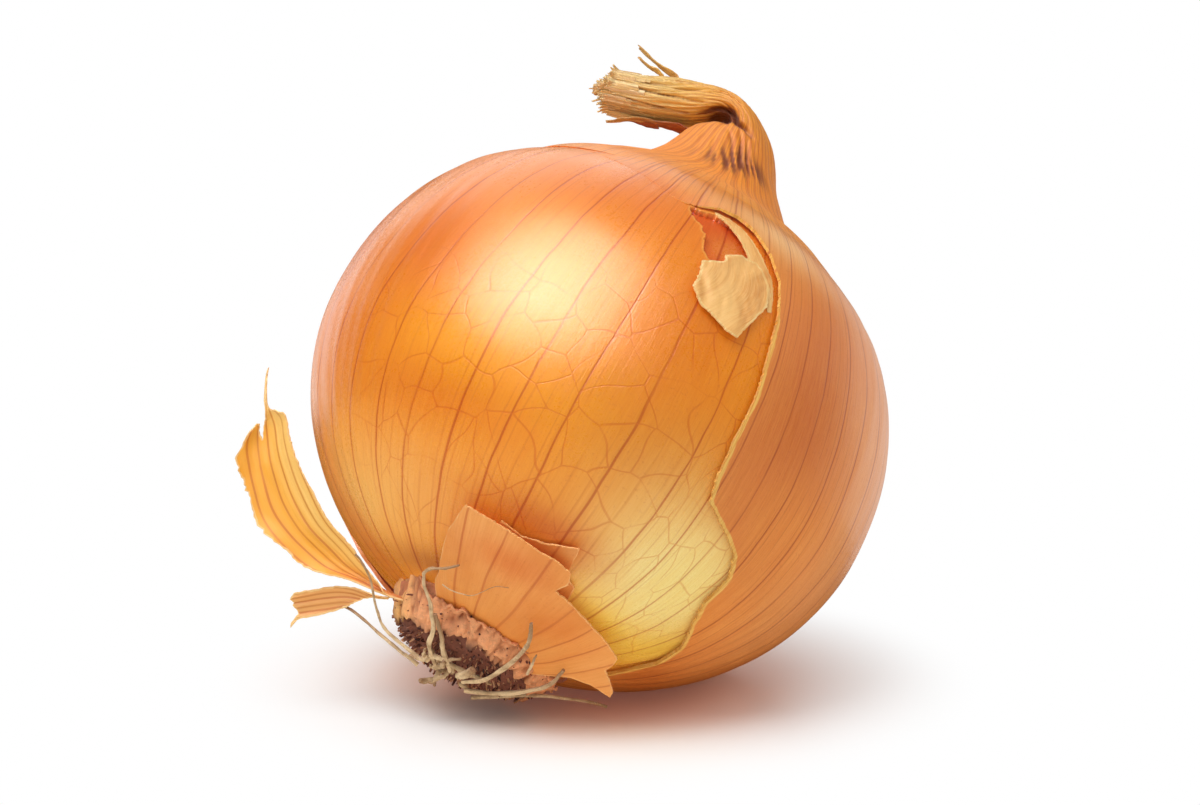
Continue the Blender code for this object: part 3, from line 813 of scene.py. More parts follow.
# A tapered tube along a route, uneven as dry plant matter is. share is stored from its start to its tip
def gnarledTube(name, route, radii, seed, sides=10, uneven=0.16, wander=0.10, perPoint=9):
    draws = np.random.default_rng(seed)
    count = perPoint * (len(route) - 1) + 1
    share = np.linspace(0, 1, count)
    line = through(route, share)
    kinks = lattice(share * len(route) * 1.7 + 3, np.zeros(count), 40, seed)[:, None] * unit(draws.normal(size=3))
    finer = lattice(share * len(route) * 4.1 + 9, np.zeros(count), 60, seed + 1)[:, None]
    kinks = kinks + finer * unit(draws.normal(size=3)) * 0.4
    line = line + kinks * wander * np.minimum(1, np.minimum(share, 1 - share) * 6)[:, None]
    thick = np.interp(share, np.linspace(0, 1, len(radii)), radii)
    thick = thick * (1 + uneven * lattice(share * len(route) * 3.3, np.ones(count), 50, seed + 2))
    curve = bpy.data.curves.new(name, "CURVE")
    curve.dimensions, curve.use_fill_caps = "3D", True
    curve.bevel_depth, curve.bevel_resolution = mm, (sides - 4) // 2
    spline = curve.splines.new("POLY")
    spline.points.add(count - 1)
    placed = raised(lieDown(line * mm), (thick + 0.02) * mm)
    for point, where, radius in zip(spline.points, placed, thick):
        point.co, point.radius = (*where, 1), radius
    obj = bpy.data.objects.new(name, curve)
    bpy.context.scene.collection.objects.link(obj)
    pick(obj)
    bpy.ops.object.convert(target="MESH")
    obj = named(name)
    co = places(obj)
    nearest = np.argmin(((co[:, None, :] - placed[None]) ** 2).sum(-1), 1)
    ridge = draws.normal(size=sides)[np.arange(len(co)) % sides] * 0.11 + draws.normal(size=len(co)) * uneven * 0.2
    co += unit(co - placed[nearest]) * (thick[nearest] * ridge * mm)[:, None]
    movePlaces(obj, raised(co, 0.00003))
    store(obj, "share", share[nearest])
    faceOut(obj, 1e-7)
    return softShade(obj, 60)


# The dried neck, folded over

neckShape = {
    "around": 208, "along": 300, "foldTowards": -99.6, "apronLats": (49.5, 52.5, 55.5, 58.5, 61),
    "apronLifts": (0.15, 0.60, 0.88, 1.02, 1.15),
    # inner side (u, w), outer side (u, w), half depth: u towards the fold and w along the axis, in millimetres
    "stations": [
        (18.8, 32.95, -18.5, 32.6, 18.8), (15.9, 34.75, -15.4, 33.7, 15.9), (12.6, 36.8, -12.2, 35.9, 12.5),
        (10.2, 39.6, -9.6, 38.7, 9.8), (8.9, 42.2, -7.3, 41.6, 8.1), (7.9, 44.1, -5.6, 44.7, 7.0),
        (6.5, 45.3, -3.9, 47.4, 6.2), (4.9, 46.2, -1.6, 49.6, 5.7), (4.6, 46.9, 0.8, 51.1, 5.4),
        (5.2, 47.2, 3.7, 52.0, 5.2), (6.6, 46.5, 6.8, 52.1, 5.1), (9.2, 45.3, 10.4, 51.2, 4.9),
        (12.9, 44.1, 13.8, 50.0, 4.7), (16.4, 43.2, 17.2, 49.0, 4.5), (20.4, 42.3, 21.2, 48.0, 4.2),
    ],
    # creases pressed in, and ridges raised (depth below 0), along (degrees round, station, depth) in millimetres
    "creases": [
        (0.42, [(35, 10.2, 0.2), (45, 9.4, 0.7), (58, 8.3, 1.4), (75, 7.2, 1.6), (90, 6.1, 1.4), (104, 5.8, 1.0),
                (116, 5.4, 0.4)]),
        (0.85, [(-30, 8.4, 0.6), (0, 8.5, 1.2), (20, 8.0, 1.8), (40, 7.4, 2.2), (58, 6.8, 2.2), (72, 6.3, 1.2)]),
        (0.28, [(48, 7.4, -0.2), (60, 7.0, -0.7), (72, 6.8, -0.8), (81, 6.2, -0.6), (80, 5.5, -0.2)]),
        (0.30, [(84, 5.2, 0.1), (92, 4.6, 0.45), (96, 3.9, 0.35), (99, 3.1, 0.1)]),
        (0.30, [(100, 5.4, 0.2), (104, 4.6, 0.5), (107, 3.8, 0.35), (108, 3.0, 0.1)]),
        (0.28, [(110, 5.0, 0.2), (113, 4.3, 0.45), (115, 3.4, 0.3), (116, 2.8, 0.1)]),
        (0.5, [(-35, 9.6, 0.3), (-60, 8.4, 0.8), (-85, 7.2, 0.9), (-105, 6.0, 0.3)]),
        (0.26, [(60, 10.2, 0.2), (68, 11.4, 0.5), (76, 12.8, 0.6), (80, 13.9, 0.5)]),
        (0.20, [(92, 10.4, 0.2), (97, 11.6, 0.4), (101, 12.8, 0.3)]),
        (0.20, [(36, 10.8, 0.2), (40, 12.0, 0.45), (45, 13.6, 0.4)]),
        (0.20, [(120, 9.0, 0.1), (126, 10.8, 0.35), (124, 12.6, 0.3)]),
    ],
    "wrinkles": [(0, 0.0), (3, 0.02), (6, 0.07), (9, 0.20), (12, 0.26), (15, 0.34), (19, 0.42)],
}
neckLook = {
    "fineVeins": 0.4, "roughness": 0.58, "lowRoughness": 0.33, "ior": 1.42, "bump": 0.6, "veinWidth": 0.22,
    "veins": 0.6, "veinShade": (0.56, 0.30, 0.14),
    "streaks": 0.6, "streakShade": (0.84, 0.66, 0.42), "hairs": 0.25, "hairShade": rgb(255, 200, 80),
    # colour of the painted shade in the neck's creases and hollows
    "clouds": 0.25, "cloudShade": (0.90, 0.80, 0.60), "shadeAndTone": rgb(100, 30, 0),
}
# colours by station: the skirt over the shoulder, the bend, then the straw-coloured end
neckTints = [(0, (230, 136, 22)), (3, (234, 138, 10)), (7, (236, 138, 6)), (10, (238, 146, 18)),
             (13, (246, 174, 50)),
             (15.5, (250, 206, 96)), (17, (248, 224, 136)), (19, (248, 236, 176))]


def neckStations():
    rings = []
    for lat, lift in zip(neckShape["apronLats"], neckShape["apronLifts"]):
        lat = np.array([lat])
        point = standUp(onBulb(np.array([0.0]), lat, lift * mm))[0] / mm
        rings.append((point[0], point[2], -point[0], point[2], point[0]))
    return np.array(rings + list(neckShape["stations"]))


def foldAxes():
    towards = math.radians(neckShape["foldTowards"])
    towards = np.array([math.cos(towards), math.sin(towards), 0])
    up = np.array([0, 0, 1.0])
    return towards, up, np.cross(up, towards)


def neckPlaces(theta, station, stations):
    towards, up, across = foldAxes()
    u0, w0, u1, w1, depth = through(stations, station / (len(stations) - 1)).T[..., None]
    inner, outer = towards * u0 + up * w0, towards * u1 + up * w1
    centre, half = (inner + outer) / 2, (inner - outer) / 2
    cosine, sine = np.cos(np.radians(theta))[:, None], np.sin(np.radians(theta))[:, None]
    return centre + half * cosine + across * depth * sine, unit(unit(half) * cosine + across * sine)


def buildNeck():
    shape = neckShape
    stations = neckStations()
    first = len(shape["apronLats"])
    last = len(stations) - 1
    neck, column, row = gridSheet("neck", shape["along"], shape["around"] + 1)
    theta = column * 360
    turnIn, turnedPart = 0.94, 0.06  # the last rows turn back into the hollow end
    inside = row > turnIn
    station = np.where(inside, last - (row - turnIn) / turnedPart * 1.2, row / turnIn * last)
    own, out = neckPlaces(theta, station, stations)
    size = np.interp(station, *zip(*shape["wrinkles"]))
    twist = theta / 360 + station * 0.012
    folds = lattice(twist * 44, station * 0.55, 44, 21) * 0.9 + lattice(twist * 96, station * 0.9, 96, 22) * 0.55
    folds = -np.abs(folds) + 0.3 + 0.5 * lattice(twist * 17, station * 0.4, 17, 23)
    lumps = lattice(theta / 360 * 7, station * 0.6, 7, 24) * np.interp(station, [6, 12, 19], [0, 0.25, 0.4])
    pressed = np.zeros(len(theta))
    dark = np.zeros(len(theta))
    for wide, line in shape["creases"]:
        line = np.array(line, float)
        fine = through(line, np.linspace(0, 1, 40))
        path, _ = neckPlaces(fine[:, 0], fine[:, 1] + first, stations)
        away = np.full(len(theta), 1e9)
        depth = np.zeros(len(theta))
        for where, deep in zip(path, fine[:, 2]):
            gap = np.linalg.norm(own - where, axis=1)
            near = gap < away
            away, depth = np.where(near, gap, away), np.where(near, deep, depth)
        push = depth * hump(away, 0, wide)
        pressed += push
        # painted shade where the creases are pressed in
        dark += np.maximum(push, 0) / 1.1 * (1 + 0.4 * lattice(twist * 60, station * 3, 60, 26))
    bulge = 0.35 * np.exp(-(((theta - 45) / 28) ** 2) - ((station - first - 9.8) / 1.4) ** 2)
    pleats = lattice(twist * 130, station * 0.8, 130, 27)
    creased = np.exp(-(((theta - 106) / 34) ** 2) - ((station - first - 3.3 - 0.012 * (theta - 106)) / 0.85) ** 2)
    # painted shade in the pleats by the bend and beside the bulge
    pleatShade = creased * 1.35
    pleatShade += 0.6 * np.exp(-(((theta - 38) / 16) ** 2) - ((station - first - 9.6) / 0.9) ** 2)
    pleatShade *= np.clip(0.5 - 0.9 * pleats, 0.08, 0.8)
    # painted shade on the underside of the folded tube and in its deepest folds
    under = hump(theta, -4, 42) * np.clip((station - first - 6) / 3, 0, 1) * 0.5
    under += np.clip(-np.minimum(folds, 0) - 0.5, 0, 1) * np.interp(station, [8, 12], [0, 0.5])
    shrunk = np.where(inside, 1.0 + 2.2 * (row - turnIn) / turnedPart, 0)
    own = own + out * (folds * size + lumps + bulge + 0.22 * creased * pleats - pressed - shrunk)[:, None]
    # the frayed end: each part of the rim is a different length
    towards, up, _ = foldAxes()
    level = np.zeros(len(theta))
    fray = lattice(theta / 360 * 30, level, 30, 31) * 0.5 + lattice(theta / 360 * 90, level, 90, 32) * 0.45
    atEnd = np.clip((station - last + 0.7) / 0.7, 0, 1) * ~inside
    atEnd = atEnd + inside * np.clip(1 - (row - turnIn) / 0.02, 0, 1)
    own += (towards * 0.96 - up * 0.27) * ((fray - 1.3) * atEnd)[:, None]
    flat = raised(lieDown(own * mm), 0.0001)
    movePlaces(neck, flat)
    lon = shape["foldTowards"] + theta
    evenly = np.linspace(0, last, 200)
    side = neckPlaces(np.full(200, 90.0), evenly, stations)[0]
    along = np.concatenate([[0], np.cumsum(np.linalg.norm(np.diff(side, axis=0), axis=1))])
    z = shape["apronLats"][0] / 10 + np.interp(station, evenly, along) / 6.6
    grain = grainOf(lon, np.full(len(lon), 45.0))
    realLat = lonLat(flat)[1]
    grain[:, 2] = np.where(station < first - 1, np.minimum(z, realLat / 10), z)
    store(neck, "grain", grain)
    wide = through(stations, station / last)
    halfWide = np.hypot(wide[:, 0] - wide[:, 2], wide[:, 1] - wide[:, 3]) / 2
    store(neck, "span", (halfWide + wide[:, 4]) * math.pi / veinCount)
    at, steps = [at for at, _ in neckTints], [rgb(*shade) for _, shade in neckTints]
    channels = [np.interp(station, at, [shade[i] for shade in steps]) for i in range(3)]
    tint = np.stack(channels + [np.zeros(len(lon))], 1)
    onSkin = shoulderTint(lon, realLat)
    blend = (1 - smooth(first - 2.5, first + 0.5, station))[:, None]
    tint[:, :3] = blended(tint[:, :3], onSkin, blend)
    store(neck, "tint", tint)
    # painted shade in creases, pleats, folds, under the tube and inside the hollow end
    store(neck, "shadeAndTone", np.clip(dark + pleatShade + under + inside * 0.7, 0, 1))
    weld(neck, 2e-6)
    faceShut(neck)
    softShade(neck, 70)
    straws = endStraws(stations, last)
    finish = skinFinish("neckPaper", neckLook)
    joined("neckFolded", [neck, *straws])
    handOver(bpy.context.object, finish, "neck", "neck")
    print("neck", len(bpy.context.object.data.polygons), "faces")


def faceShut(obj):  # closes the open ends of a tube and turns it outwards
    pick(obj)
    bpy.ops.object.mode_set(mode="EDIT")
    bpy.ops.mesh.select_mode(type="EDGE")
    bpy.ops.mesh.select_all(action="DESELECT")
    bpy.ops.mesh.select_non_manifold()
    bpy.ops.mesh.edge_face_add()
    bpy.ops.mesh.select_mode(type="FACE")
    bpy.ops.object.mode_set(mode="OBJECT")
    return faceOut(obj)


# A strip of dry leaf: route and side in the onion's own frame, widths in millimetres at even steps
def leafStrip(name, route, widths, side, seed, thick=0.12, cup=0.25, split=0.0, rows=26, columns=7):
    strip, fromSide, t = gridSheet(name, rows, columns)
    draws = np.random.default_rng(seed)
    line = through(route, t)
    ahead = unit(through(route, np.minimum(t + 0.02, 1)) - through(route, np.maximum(t - 0.02, 0)))
    side = unit(np.asarray(side, float) - ahead * (ahead @ np.asarray(side, float))[:, None])
    out = np.cross(ahead, side)
    width = np.interp(t, np.linspace(0, 1, len(widths)), widths)
    off = fromSide * 2 - 1
    tornEnd = lattice(off * 3 + 5, np.full(len(off), 0.5), 12, seed) * 0.8 * (t > 0.8) * (t - 0.8) * 5
    line = line + ahead * tornEnd[:, None] * (0.4 + split)
    wave = lattice(off * 1.5 + 4, t * 6, 12, seed + 1) * 0.18 + lattice(off * 3 + 4, t * 14, 20, seed + 2) * 0.08
    rise = cup * width * (off**2) * 0.5 + wave * np.minimum(1, width * 0.6)
    line = line + side * (off * width / 2)[:, None] + out * rise[:, None]
    placed = raised(lieDown(line * mm), 0.0002)
    movePlaces(strip, placed)
    angle = (off * width / 2 / 1.2 + draws.uniform(0, 30)) * (math.tau / veinCount)
    store(strip, "grain", np.stack([np.cos(angle) * 6, np.sin(angle) * 6, 8 + t * len(route) * 0.5], 1))
    store(strip, "span", np.full(len(t), 1.2))
    store(strip, "share", t)
    applied(strip, "SOLIDIFY", thickness=thick * mm, offset=0.0)
    return faceOut(softShade(strip, 50))


def paint(obj, shade, dark=0.0, tip=None):
    count = len(obj.data.vertices)
    tint = np.tile(np.array([*rgb(*shade), 0.0]), (count, 1))
    if tip is not None:
        share = np.empty(count)
        obj.data.attributes["share"].data.foreach_get("value", share)
        tint[:, :3] += (np.array(rgb(*tip)) - tint[:, :3]) * smooth(0.3, 0.95, share)[:, None]
    store(obj, "tint", tint)
    # the darkening is random darker tone for straws and strips, and painted shade for the strip under the tube
    store(obj, "shadeAndTone", np.full(count, dark))
    return obj


def endStraws(stations, last):  # the frayed fibres of the neck's end
    draws = np.random.default_rng(41)
    across = foldAxes()[2]
    made = []
    for i in range(120):
        theta = np.array([draws.uniform(0, 360)])
        inward = draws.uniform(0.3, 3.0) if i % 3 else 0.1
        start = last - draws.uniform(0.6, 1.6)
        a, outA = neckPlaces(theta, np.array([start]), stations)
        b, outB = neckPlaces(theta, np.array([float(last)]), stations)
        run = unit(b - a)[0]
        long = draws.uniform(0.1, 0.6) + inward * draws.uniform(0.3, 0.8)
        spread = outB[0] * draws.uniform(-0.3, 0.5) + across * draws.uniform(-0.25, 0.25)
        p0, p1 = a[0] - outA[0] * inward, b[0] - outB[0] * inward - run * 1.3
        p2 = p1 + (run + spread * 0.6) * (long + 0.6) * 0.6
        p3 = p2 + (run + spread * 1.5) * (long + 0.6) * 0.5
        wide = draws.uniform(0.35, 0.85)
        straw = leafStrip("straw", [p0, (p0 + p1) / 2, p1, p2, p3], [wide, wide, wide, wide * 0.9, wide * 0.7],
                          np.cross(run, outB[0]), 500 + i, thick=0.14, cup=0.5, rows=9, columns=4)
        shade = [(240, 224, 168), (248, 236, 190), (226, 196, 128), (236, 208, 140)][i % 4]
        made.append(paint(straw, shade, dark=draws.uniform(0, 0.25)))
    return made


# routes (u, w, v) in millimetres along the fold's own directions, then widths from root to tip, then a seed
stripShapes = {
    "neck_strip_long": [([(12.4, 50.6, 0.2), (13.8, 51.2, 0.1), (15.9, 51.7, 0), (17.7, 52.2, 0), (19.6, 52.9, 0)],
                         [1.7, 1.5, 1.1, 0.9, 0.9, 0.8], 1)],
    "neck_strip_short": [([(14.6, 50.0, 0.8), (15.8, 50.5, 0.8), (17.0, 50.6, 0.7), (18.6, 51.2, 0.6)],
                          [1.1, 1.0, 0.8, 0.6], 2)],
    "neck_strip_under": [
        ([(7.2, 43.9, 1.2), (8.8, 43.6, 1.3), (11.2, 43.3, 1.0), (13.4, 43.1, 0.7), (15.6, 42.4, 0.6),
          (17.6, 41.2, 0.5)], [1.8, 2.6, 2.0, 1.3, 1.1, 0.8], 3),
        ([(11.8, 43.2, 0.2), (13.8, 42.8, 0.0), (15.8, 42.6, -0.2), (17.3, 41.6, -0.2), (18.4, 40.9, 0)],
         [1.6, 1.2, 0.8, 0.7, 0.5], 4),
    ],
}


def buildNeckStrips():
    towards, up, across = foldAxes()

    def own(points):
        return [towards * u + up * w + across * v for u, w, v in points]

    for name, parts in stripShapes.items():
        made = [leafStrip(name, own(route), widths, across, 60 + seed, thick=0.22, cup=0.3, split=0.5, rows=34,
                          columns=8)
                for route, widths, seed in parts]
        # the strip under the tube is painted darker and browner, as shade falls on it there
        shade, dark = ((150, 66, 26), 0.2) if "under" in name else ((222, 176, 92), 0.12)
        for strip in made:
            paint(strip, shade, dark, (214, 176, 104))
        handOver(joined(name.replace("neck_strip", "leafStrip"), made), bpy.data.materials["neckPaper"], "neck",
                 name)


buildNeck()
buildNeckStrips()
print("neck strips")

# Flakes of skin

flakeShapes = {  # outlines in degrees round and along the bulb
    "folded": [
        (7.5, 29), (10.5, 31), (14.3, 32), (16.6, 30.2), (18.5, 28), (19.6, 22.5), (18.2, 19), (17, 15),
        (16, 11.5), (13.5, 11.2), (11.2, 12.3), (7, 13.6), (4, 16.4), (4.3, 20), (3.5, 23.5), (5.5, 25.2),
        (7.6, 26.6),
    ],
    "rimStrip": [
        (1.5, 40.9), (6, 41.4), (9.5, 40.6), (12.5, 38.4), (16.2, 34.6), (19.4, 30.2), (20.6, 26), (21.2, 22.5),
        (20.2, 22.0), (19.0, 27.0), (16.5, 30.6), (13.4, 31.0), (12.3, 32.6), (11, 34.3), (8.6, 37.0),
        (5.6, 38.9), (2, 40.0),
    ],
    "rootWide": [
        (-36, -75.5), (-31, -67), (-28, -64.5), (-26, -60), (-24.5, -56), (-22.6, -52), (-21, -50),
        (-19.6, -47.3), (-18.5, -45.5), (-12, -46.6), (-7, -47), (4, -47.8), (10, -47.6), (14.5, -48.3),
        (16.5, -51), (15, -54), (20, -54.4), (33.5, -55.8), (44, -56.1), (50, -56.4), (52, -57.8), (54, -59.8),
        (60, -60), (65, -60.2), (67.5, -61), (64, -62.4), (60, -64), (56, -67), (54, -75.5),
    ],
    "rootUnder": [
        (-10, -60), (-9.5, -52), (-9, -47), (-2, -48.2), (5, -46.8), (12.5, -43.5), (13.4, -46), (14, -48),
        (15, -51), (20, -52.5), (24, -60),
    ],
}
flakeLook = {
    "fineVeins": 0.15, "roughness": 0.50, "ior": 1.45, "bump": 0.4, "veinWidth": 0.22, "veins": 0.35,
    "veinShade": (0.80, 0.60, 0.40),
    "streaks": 0.8, "streakShade": (0.90, 0.78, 0.60), "hairs": 0.5, "hairShade": rgb(244, 206, 140),
    "clouds": 0.4, "cloudShade": (0.95, 0.84, 0.66), "rim": rgb(240, 206, 140), "rimDeep": rgb(226, 172, 96),
    "rimWidth": 0.3,
    "rimShadowLine": 0.0, "rimShadowColour": rgb(150, 90, 30),
}
huskFlakeLook = dict(
    flakeLook, veins=0.75, veinWidth=0.15, veinShade=(0.66, 0.38, 0.24), bump=0.45, streaks=0.7, clouds=0.9,
    cloudShade=(0.88, 0.70, 0.46), hairs=0.2, hairShade=rgb(252, 184, 96),
    rim=rgb(246, 186, 112), rimDeep=rgb(232, 150, 76), rimWidth=0.12, roughness=0.46,
)


def skinFlake(name, outline, step, lift, thick, low=0.0):
    flake = tornSheet(name, outline, step)
    flat = places(flake)
    lon, lat = flat[:, 0], flat[:, 1]
    edge = mmFrom(lon, lat, [*outline, outline[0]])
    movePlaces(flake, raised(onBulb(lon, lat, lift(lon, lat, edge)), low + thick))
    store(flake, "edgeMm", edge)
    applied(flake, "SOLIDIFY", thickness=thick, offset=-1.0)
    weld(flake)
    movePlaces(flake, raised(places(flake), low))
    return flake


def buildFoldedFlake():
    def lift(lon, lat, inside):
        fold = lattice((lon + 2 * np.sin(lat / 3)) * 0.55 + 3, lat * 0.10, 30, 71)
        finer = 0.07 * lattice(lon * 1.6, lat * 0.3, 60, 72)
        return (0.35 + 0.85 * (1 - (lat - 11.5) / 20) ** 2 + 0.15 * fold + finer) * mm

    flake = skinFlake("flake", ragged(flakeShapes["folded"], 0.5, 0.08, 73), (0.4, 0.5), lift, 0.00022)
    strip = skinFlake("rimStrip", ragged(flakeShapes["rimStrip"], 0.45, 0.10, 76),
        (0.5, 0.5), lambda lon, lat, inside: (0.10 + 0.14 * smooth(0, 1.2, inside)) * mm, 0.00016)
    both = joined("foldedFlake", [flake, strip])
    lon, lat = followSkin(both, (226, 166, 92), [((12, 14), (8, 5), (238, 190, 116), 0.6),
                                                 ((6, 21), (3, 8), (238, 182, 104), 0.6),
                                                  ((14, 33), (7, 8), (238, 186, 96), 0.8)])
    store(both, "grain", grainOf(lon + 3 * np.sin(lat / 5), lat))
    # painted shade in streaks, standing for the shade of folds across the flake
    foldShade = smooth(-0.1, 0.7, lattice((lon + 2 * np.sin(lat / 3)) * 0.9 + 3, lat * 0.12 + 20, 60, 74))[:, None]
    shade = tinted(lon, lat, (234, 176, 100), [((11, 15), (5, 7), (246, 202, 130), 0.7),
                                               ((17, 22), (3, 9), (222, 152, 70), 0.7)])
    store(both, "tint", np.column_stack([shade * (1 - foldShade * np.array([0.14, 0.26, 0.42])), np.zeros(len(lon))]))
    softShade(both, 50)
    handOver(both, skinFinish("paleFlake", flakeLook), "pale_flake", "folded_flake")


def buildRootFlakes():
    wide, small = flakeShapes["rootWide"], flakeShapes["rootUnder"]

    def liftWide(lon, lat, inside):
        stand = 1.9 + 0.006 * (lon + 20) + 0.0018 * np.maximum(0, lon - 30) ** 2
        wave = 0.16 * lattice(lon * 0.10 + 4, lat * 0.12 + 30, 40, 81)
        wave = wave + 0.07 * lattice(lon * 0.35 + 9, lat * 0.2 + 30, 60, 82)
        tilt = 0.5 * smooth(-56, -45, lat) * smooth(0, -25, lon)
        return (stand + wave + tilt) * mm

    def liftUnder(lon, lat, inside):
        wave = 0.1 * lattice(lon * 0.3 + 5, lat * 0.3 + 40, 60, 85)
        return (0.75 + wave + 0.4 * smooth(-50, -44, lat) * smooth(2, 12, lon)) * mm

    flake = skinFlake("rootFlakeWide", ragged(wide, 0.6, 0.055, 83, plain=(len(wide) - 1,)), (1.1, 0.8), liftWide,
                      0.00024, 0.0)
    followSkin(flake, (244, 162, 80), [((-8, -52), (20, 7), (248, 172, 96), 0.8),
                                       ((-2, -54), (15, 4.5), (228, 120, 40), 0.85),
                                       ((30, -62), (22, 5), (238, 140, 56), 0.6),
                                       ((60, -60), (12, 5), (250, 176, 100), 0.8)])
    softShade(flake, 50)
    paper = skinFinish("rootFlakePaper", huskFlakeLook)
    handOver(flake, paper, "husk", "root_flake")
    under = skinFlake("rootFlakeUnder", ragged(small, 0.6, 0.055, 84, plain=(0, len(small) - 1, len(small) - 2)),
                      (1.1, 0.8),
                      liftUnder, 0.00024)
    followSkin(under, (226, 140, 66), [((2, -49), (10, 4), (214, 110, 40), 0.7),
                                       ((12, -45), (5, 3), (238, 168, 100), 0.8)])
    softShade(under, 50)
    handOver(under, paper, "husk", "root_flake_under")


buildFoldedFlake()
buildRootFlakes()
print("flakes")

# Husks that stand away from the bulb: an outline across and along a bowed strip between two edges

huskShapes = {
    "husk_large": {
        "bow": 1.2, "thick": 0.16, "step": (0.035, 0.08), "seed": 90,
        "edges": [
            (3.2, -12.0, -35.2, 4.2, -10.6, -35.1), (3.1, -15.0, -35.6, 4.0, -12.9, -35.4),
            (3.0, -18.2, -35.9, 4.1, -14.4, -34.8), (2.2, -21.9, -36.5, 4.4, -17.4, -33.8),
            (1.9, -24.8, -36.3, 4.8, -20.6, -32.6), (2.0, -28.6, -35.4, 5.1, -24.9, -31.1),
            (1.9, -32.2, -33.9, 5.7, -29.2, -28.4), (2.4, -35.2, -31.4, 6.2, -32.4, -25.9),
            (2.9, -37.4, -29.2, 6.5, -34.4, -23.9), (3.6, -39.1, -26.8, 6.9, -36.2, -21.8),
            (5.4, -39.4, -23.0, 6.9, -38.4, -21.0), (6.4, -41.0, -17.9, 6.8, -40.9, -17.6),
            (6.7, -41.2, -15.0, 7.0, -41.1, -14.9),
        ],
        "outline": [
            (0.0, 0.0), (0.0, 1.0), (-0.02, 2.0), (-0.08, 3.0), (-0.12, 4.0), (-0.06, 4.6), (-0.13, 5.4),
            (-0.12, 6.2), (-0.08, 6.9), (-0.11, 7.8), (-0.15, 8.6), (-0.03, 8.95), (0.02, 9.45), (0.16, 9.65),
            (0.27, 9.55), (0.31, 9.2), (0.38, 8.75), (0.42, 9.1), (0.46, 9.6), (0.40, 10.1), (0.22, 10.65),
            (0.15, 11.0), (0.4, 11.3), (0.75, 11.0), (0.62, 10.65), (0.60, 10.2), (0.8, 9.85), (0.93, 9.7),
            (1.0, 9.35), (1.07, 9.2), (1.08, 8.5), (1.08, 7.5), (1.1, 6.5), (1.13, 5.5), (1.14, 4.5),
            (1.12, 3.7), (1.05, 3.0), (1.0, 2.0), (1.0, 1.0), (1.0, 0.0),
        ],
    },
    "husk_small": {
        "bow": 0.5, "thick": 0.16, "step": (0.05, 0.06), "seed": 95,
        "edges": [
            (2.3, -12.6, -36.4, 3.0, -12.4, -35.6), (1.5, -14.0, -37.6, 2.4, -14.3, -36.4),
            (0.2, -16.8, -39.1, 1.6, -17.5, -36.7), (-1.6, -19.0, -40.6, 0.4, -20.3, -37.7),
            (-3.8, -21.9, -42.3, -1.9, -24.0, -40.2), (-4.9, -23.4, -43.2, -3.0, -25.9, -41.4),
        ],
        "outline": [
            (0.9, 0.0), (1.05, 1.0), (0.6, 1.45), (0.12, 1.95), (0.02, 2.5), (0.0, 3.0), (-0.03, 3.6),
            (-0.02, 3.85), (-0.10, 4.1), (-0.22, 4.3), (-0.26, 4.42), (-0.12, 4.34), (0.02, 4.12), (0.12, 3.95),
            (0.3, 3.98), (0.5, 4.12), (0.62, 4.05), (0.8, 4.15), (0.95, 4.0), (1.03, 3.85), (1.0, 3.5),
            (1.02, 3.0), (1.08, 2.4), (1.12, 2.0), (1.25, 1.5), (1.45, 1.0), (1.3, 0.0),
        ],
    },
}
huskLook = dict(
    flakeLook, veins=0.95, veinWidth=0.20, veinShade=(0.66, 0.40, 0.18), streaks=0.5, hairs=0.15,
    hairShade=rgb(250, 206, 120), bump=0.5,
    rim=rgb(250, 214, 150), rimDeep=rgb(236, 176, 90), rimWidth=0.18,
)


def huskPlaces(shape, across, along):
    edges = np.array(shape["edges"])
    share = along / (len(edges) - 1)
    both = through(edges, share)
    ahead = through(edges, share + 0.01) - through(edges, share - 0.01)
    one, other = both[:, :3], both[:, 3:]
    out = unit(np.cross(ahead[:, :3] + ahead[:, 3:], other - one))
    wide = np.linalg.norm(other - one, axis=1)
    bow = shape["bow"] * 4 * across * (1 - across) * np.minimum(1, wide / 5)
    wave = 0.16 * lattice(across * 5 + 9, along * 0.8 + 3, 40, shape["seed"]) * np.minimum(1, wide / 3)
    wave += 0.10 * lattice(across * 14 + 30, along * 0.5 + 7, 60, shape["seed"] + 1)
    return one + (other - one) * across[:, None] + out * (bow + wave)[:, None], wide


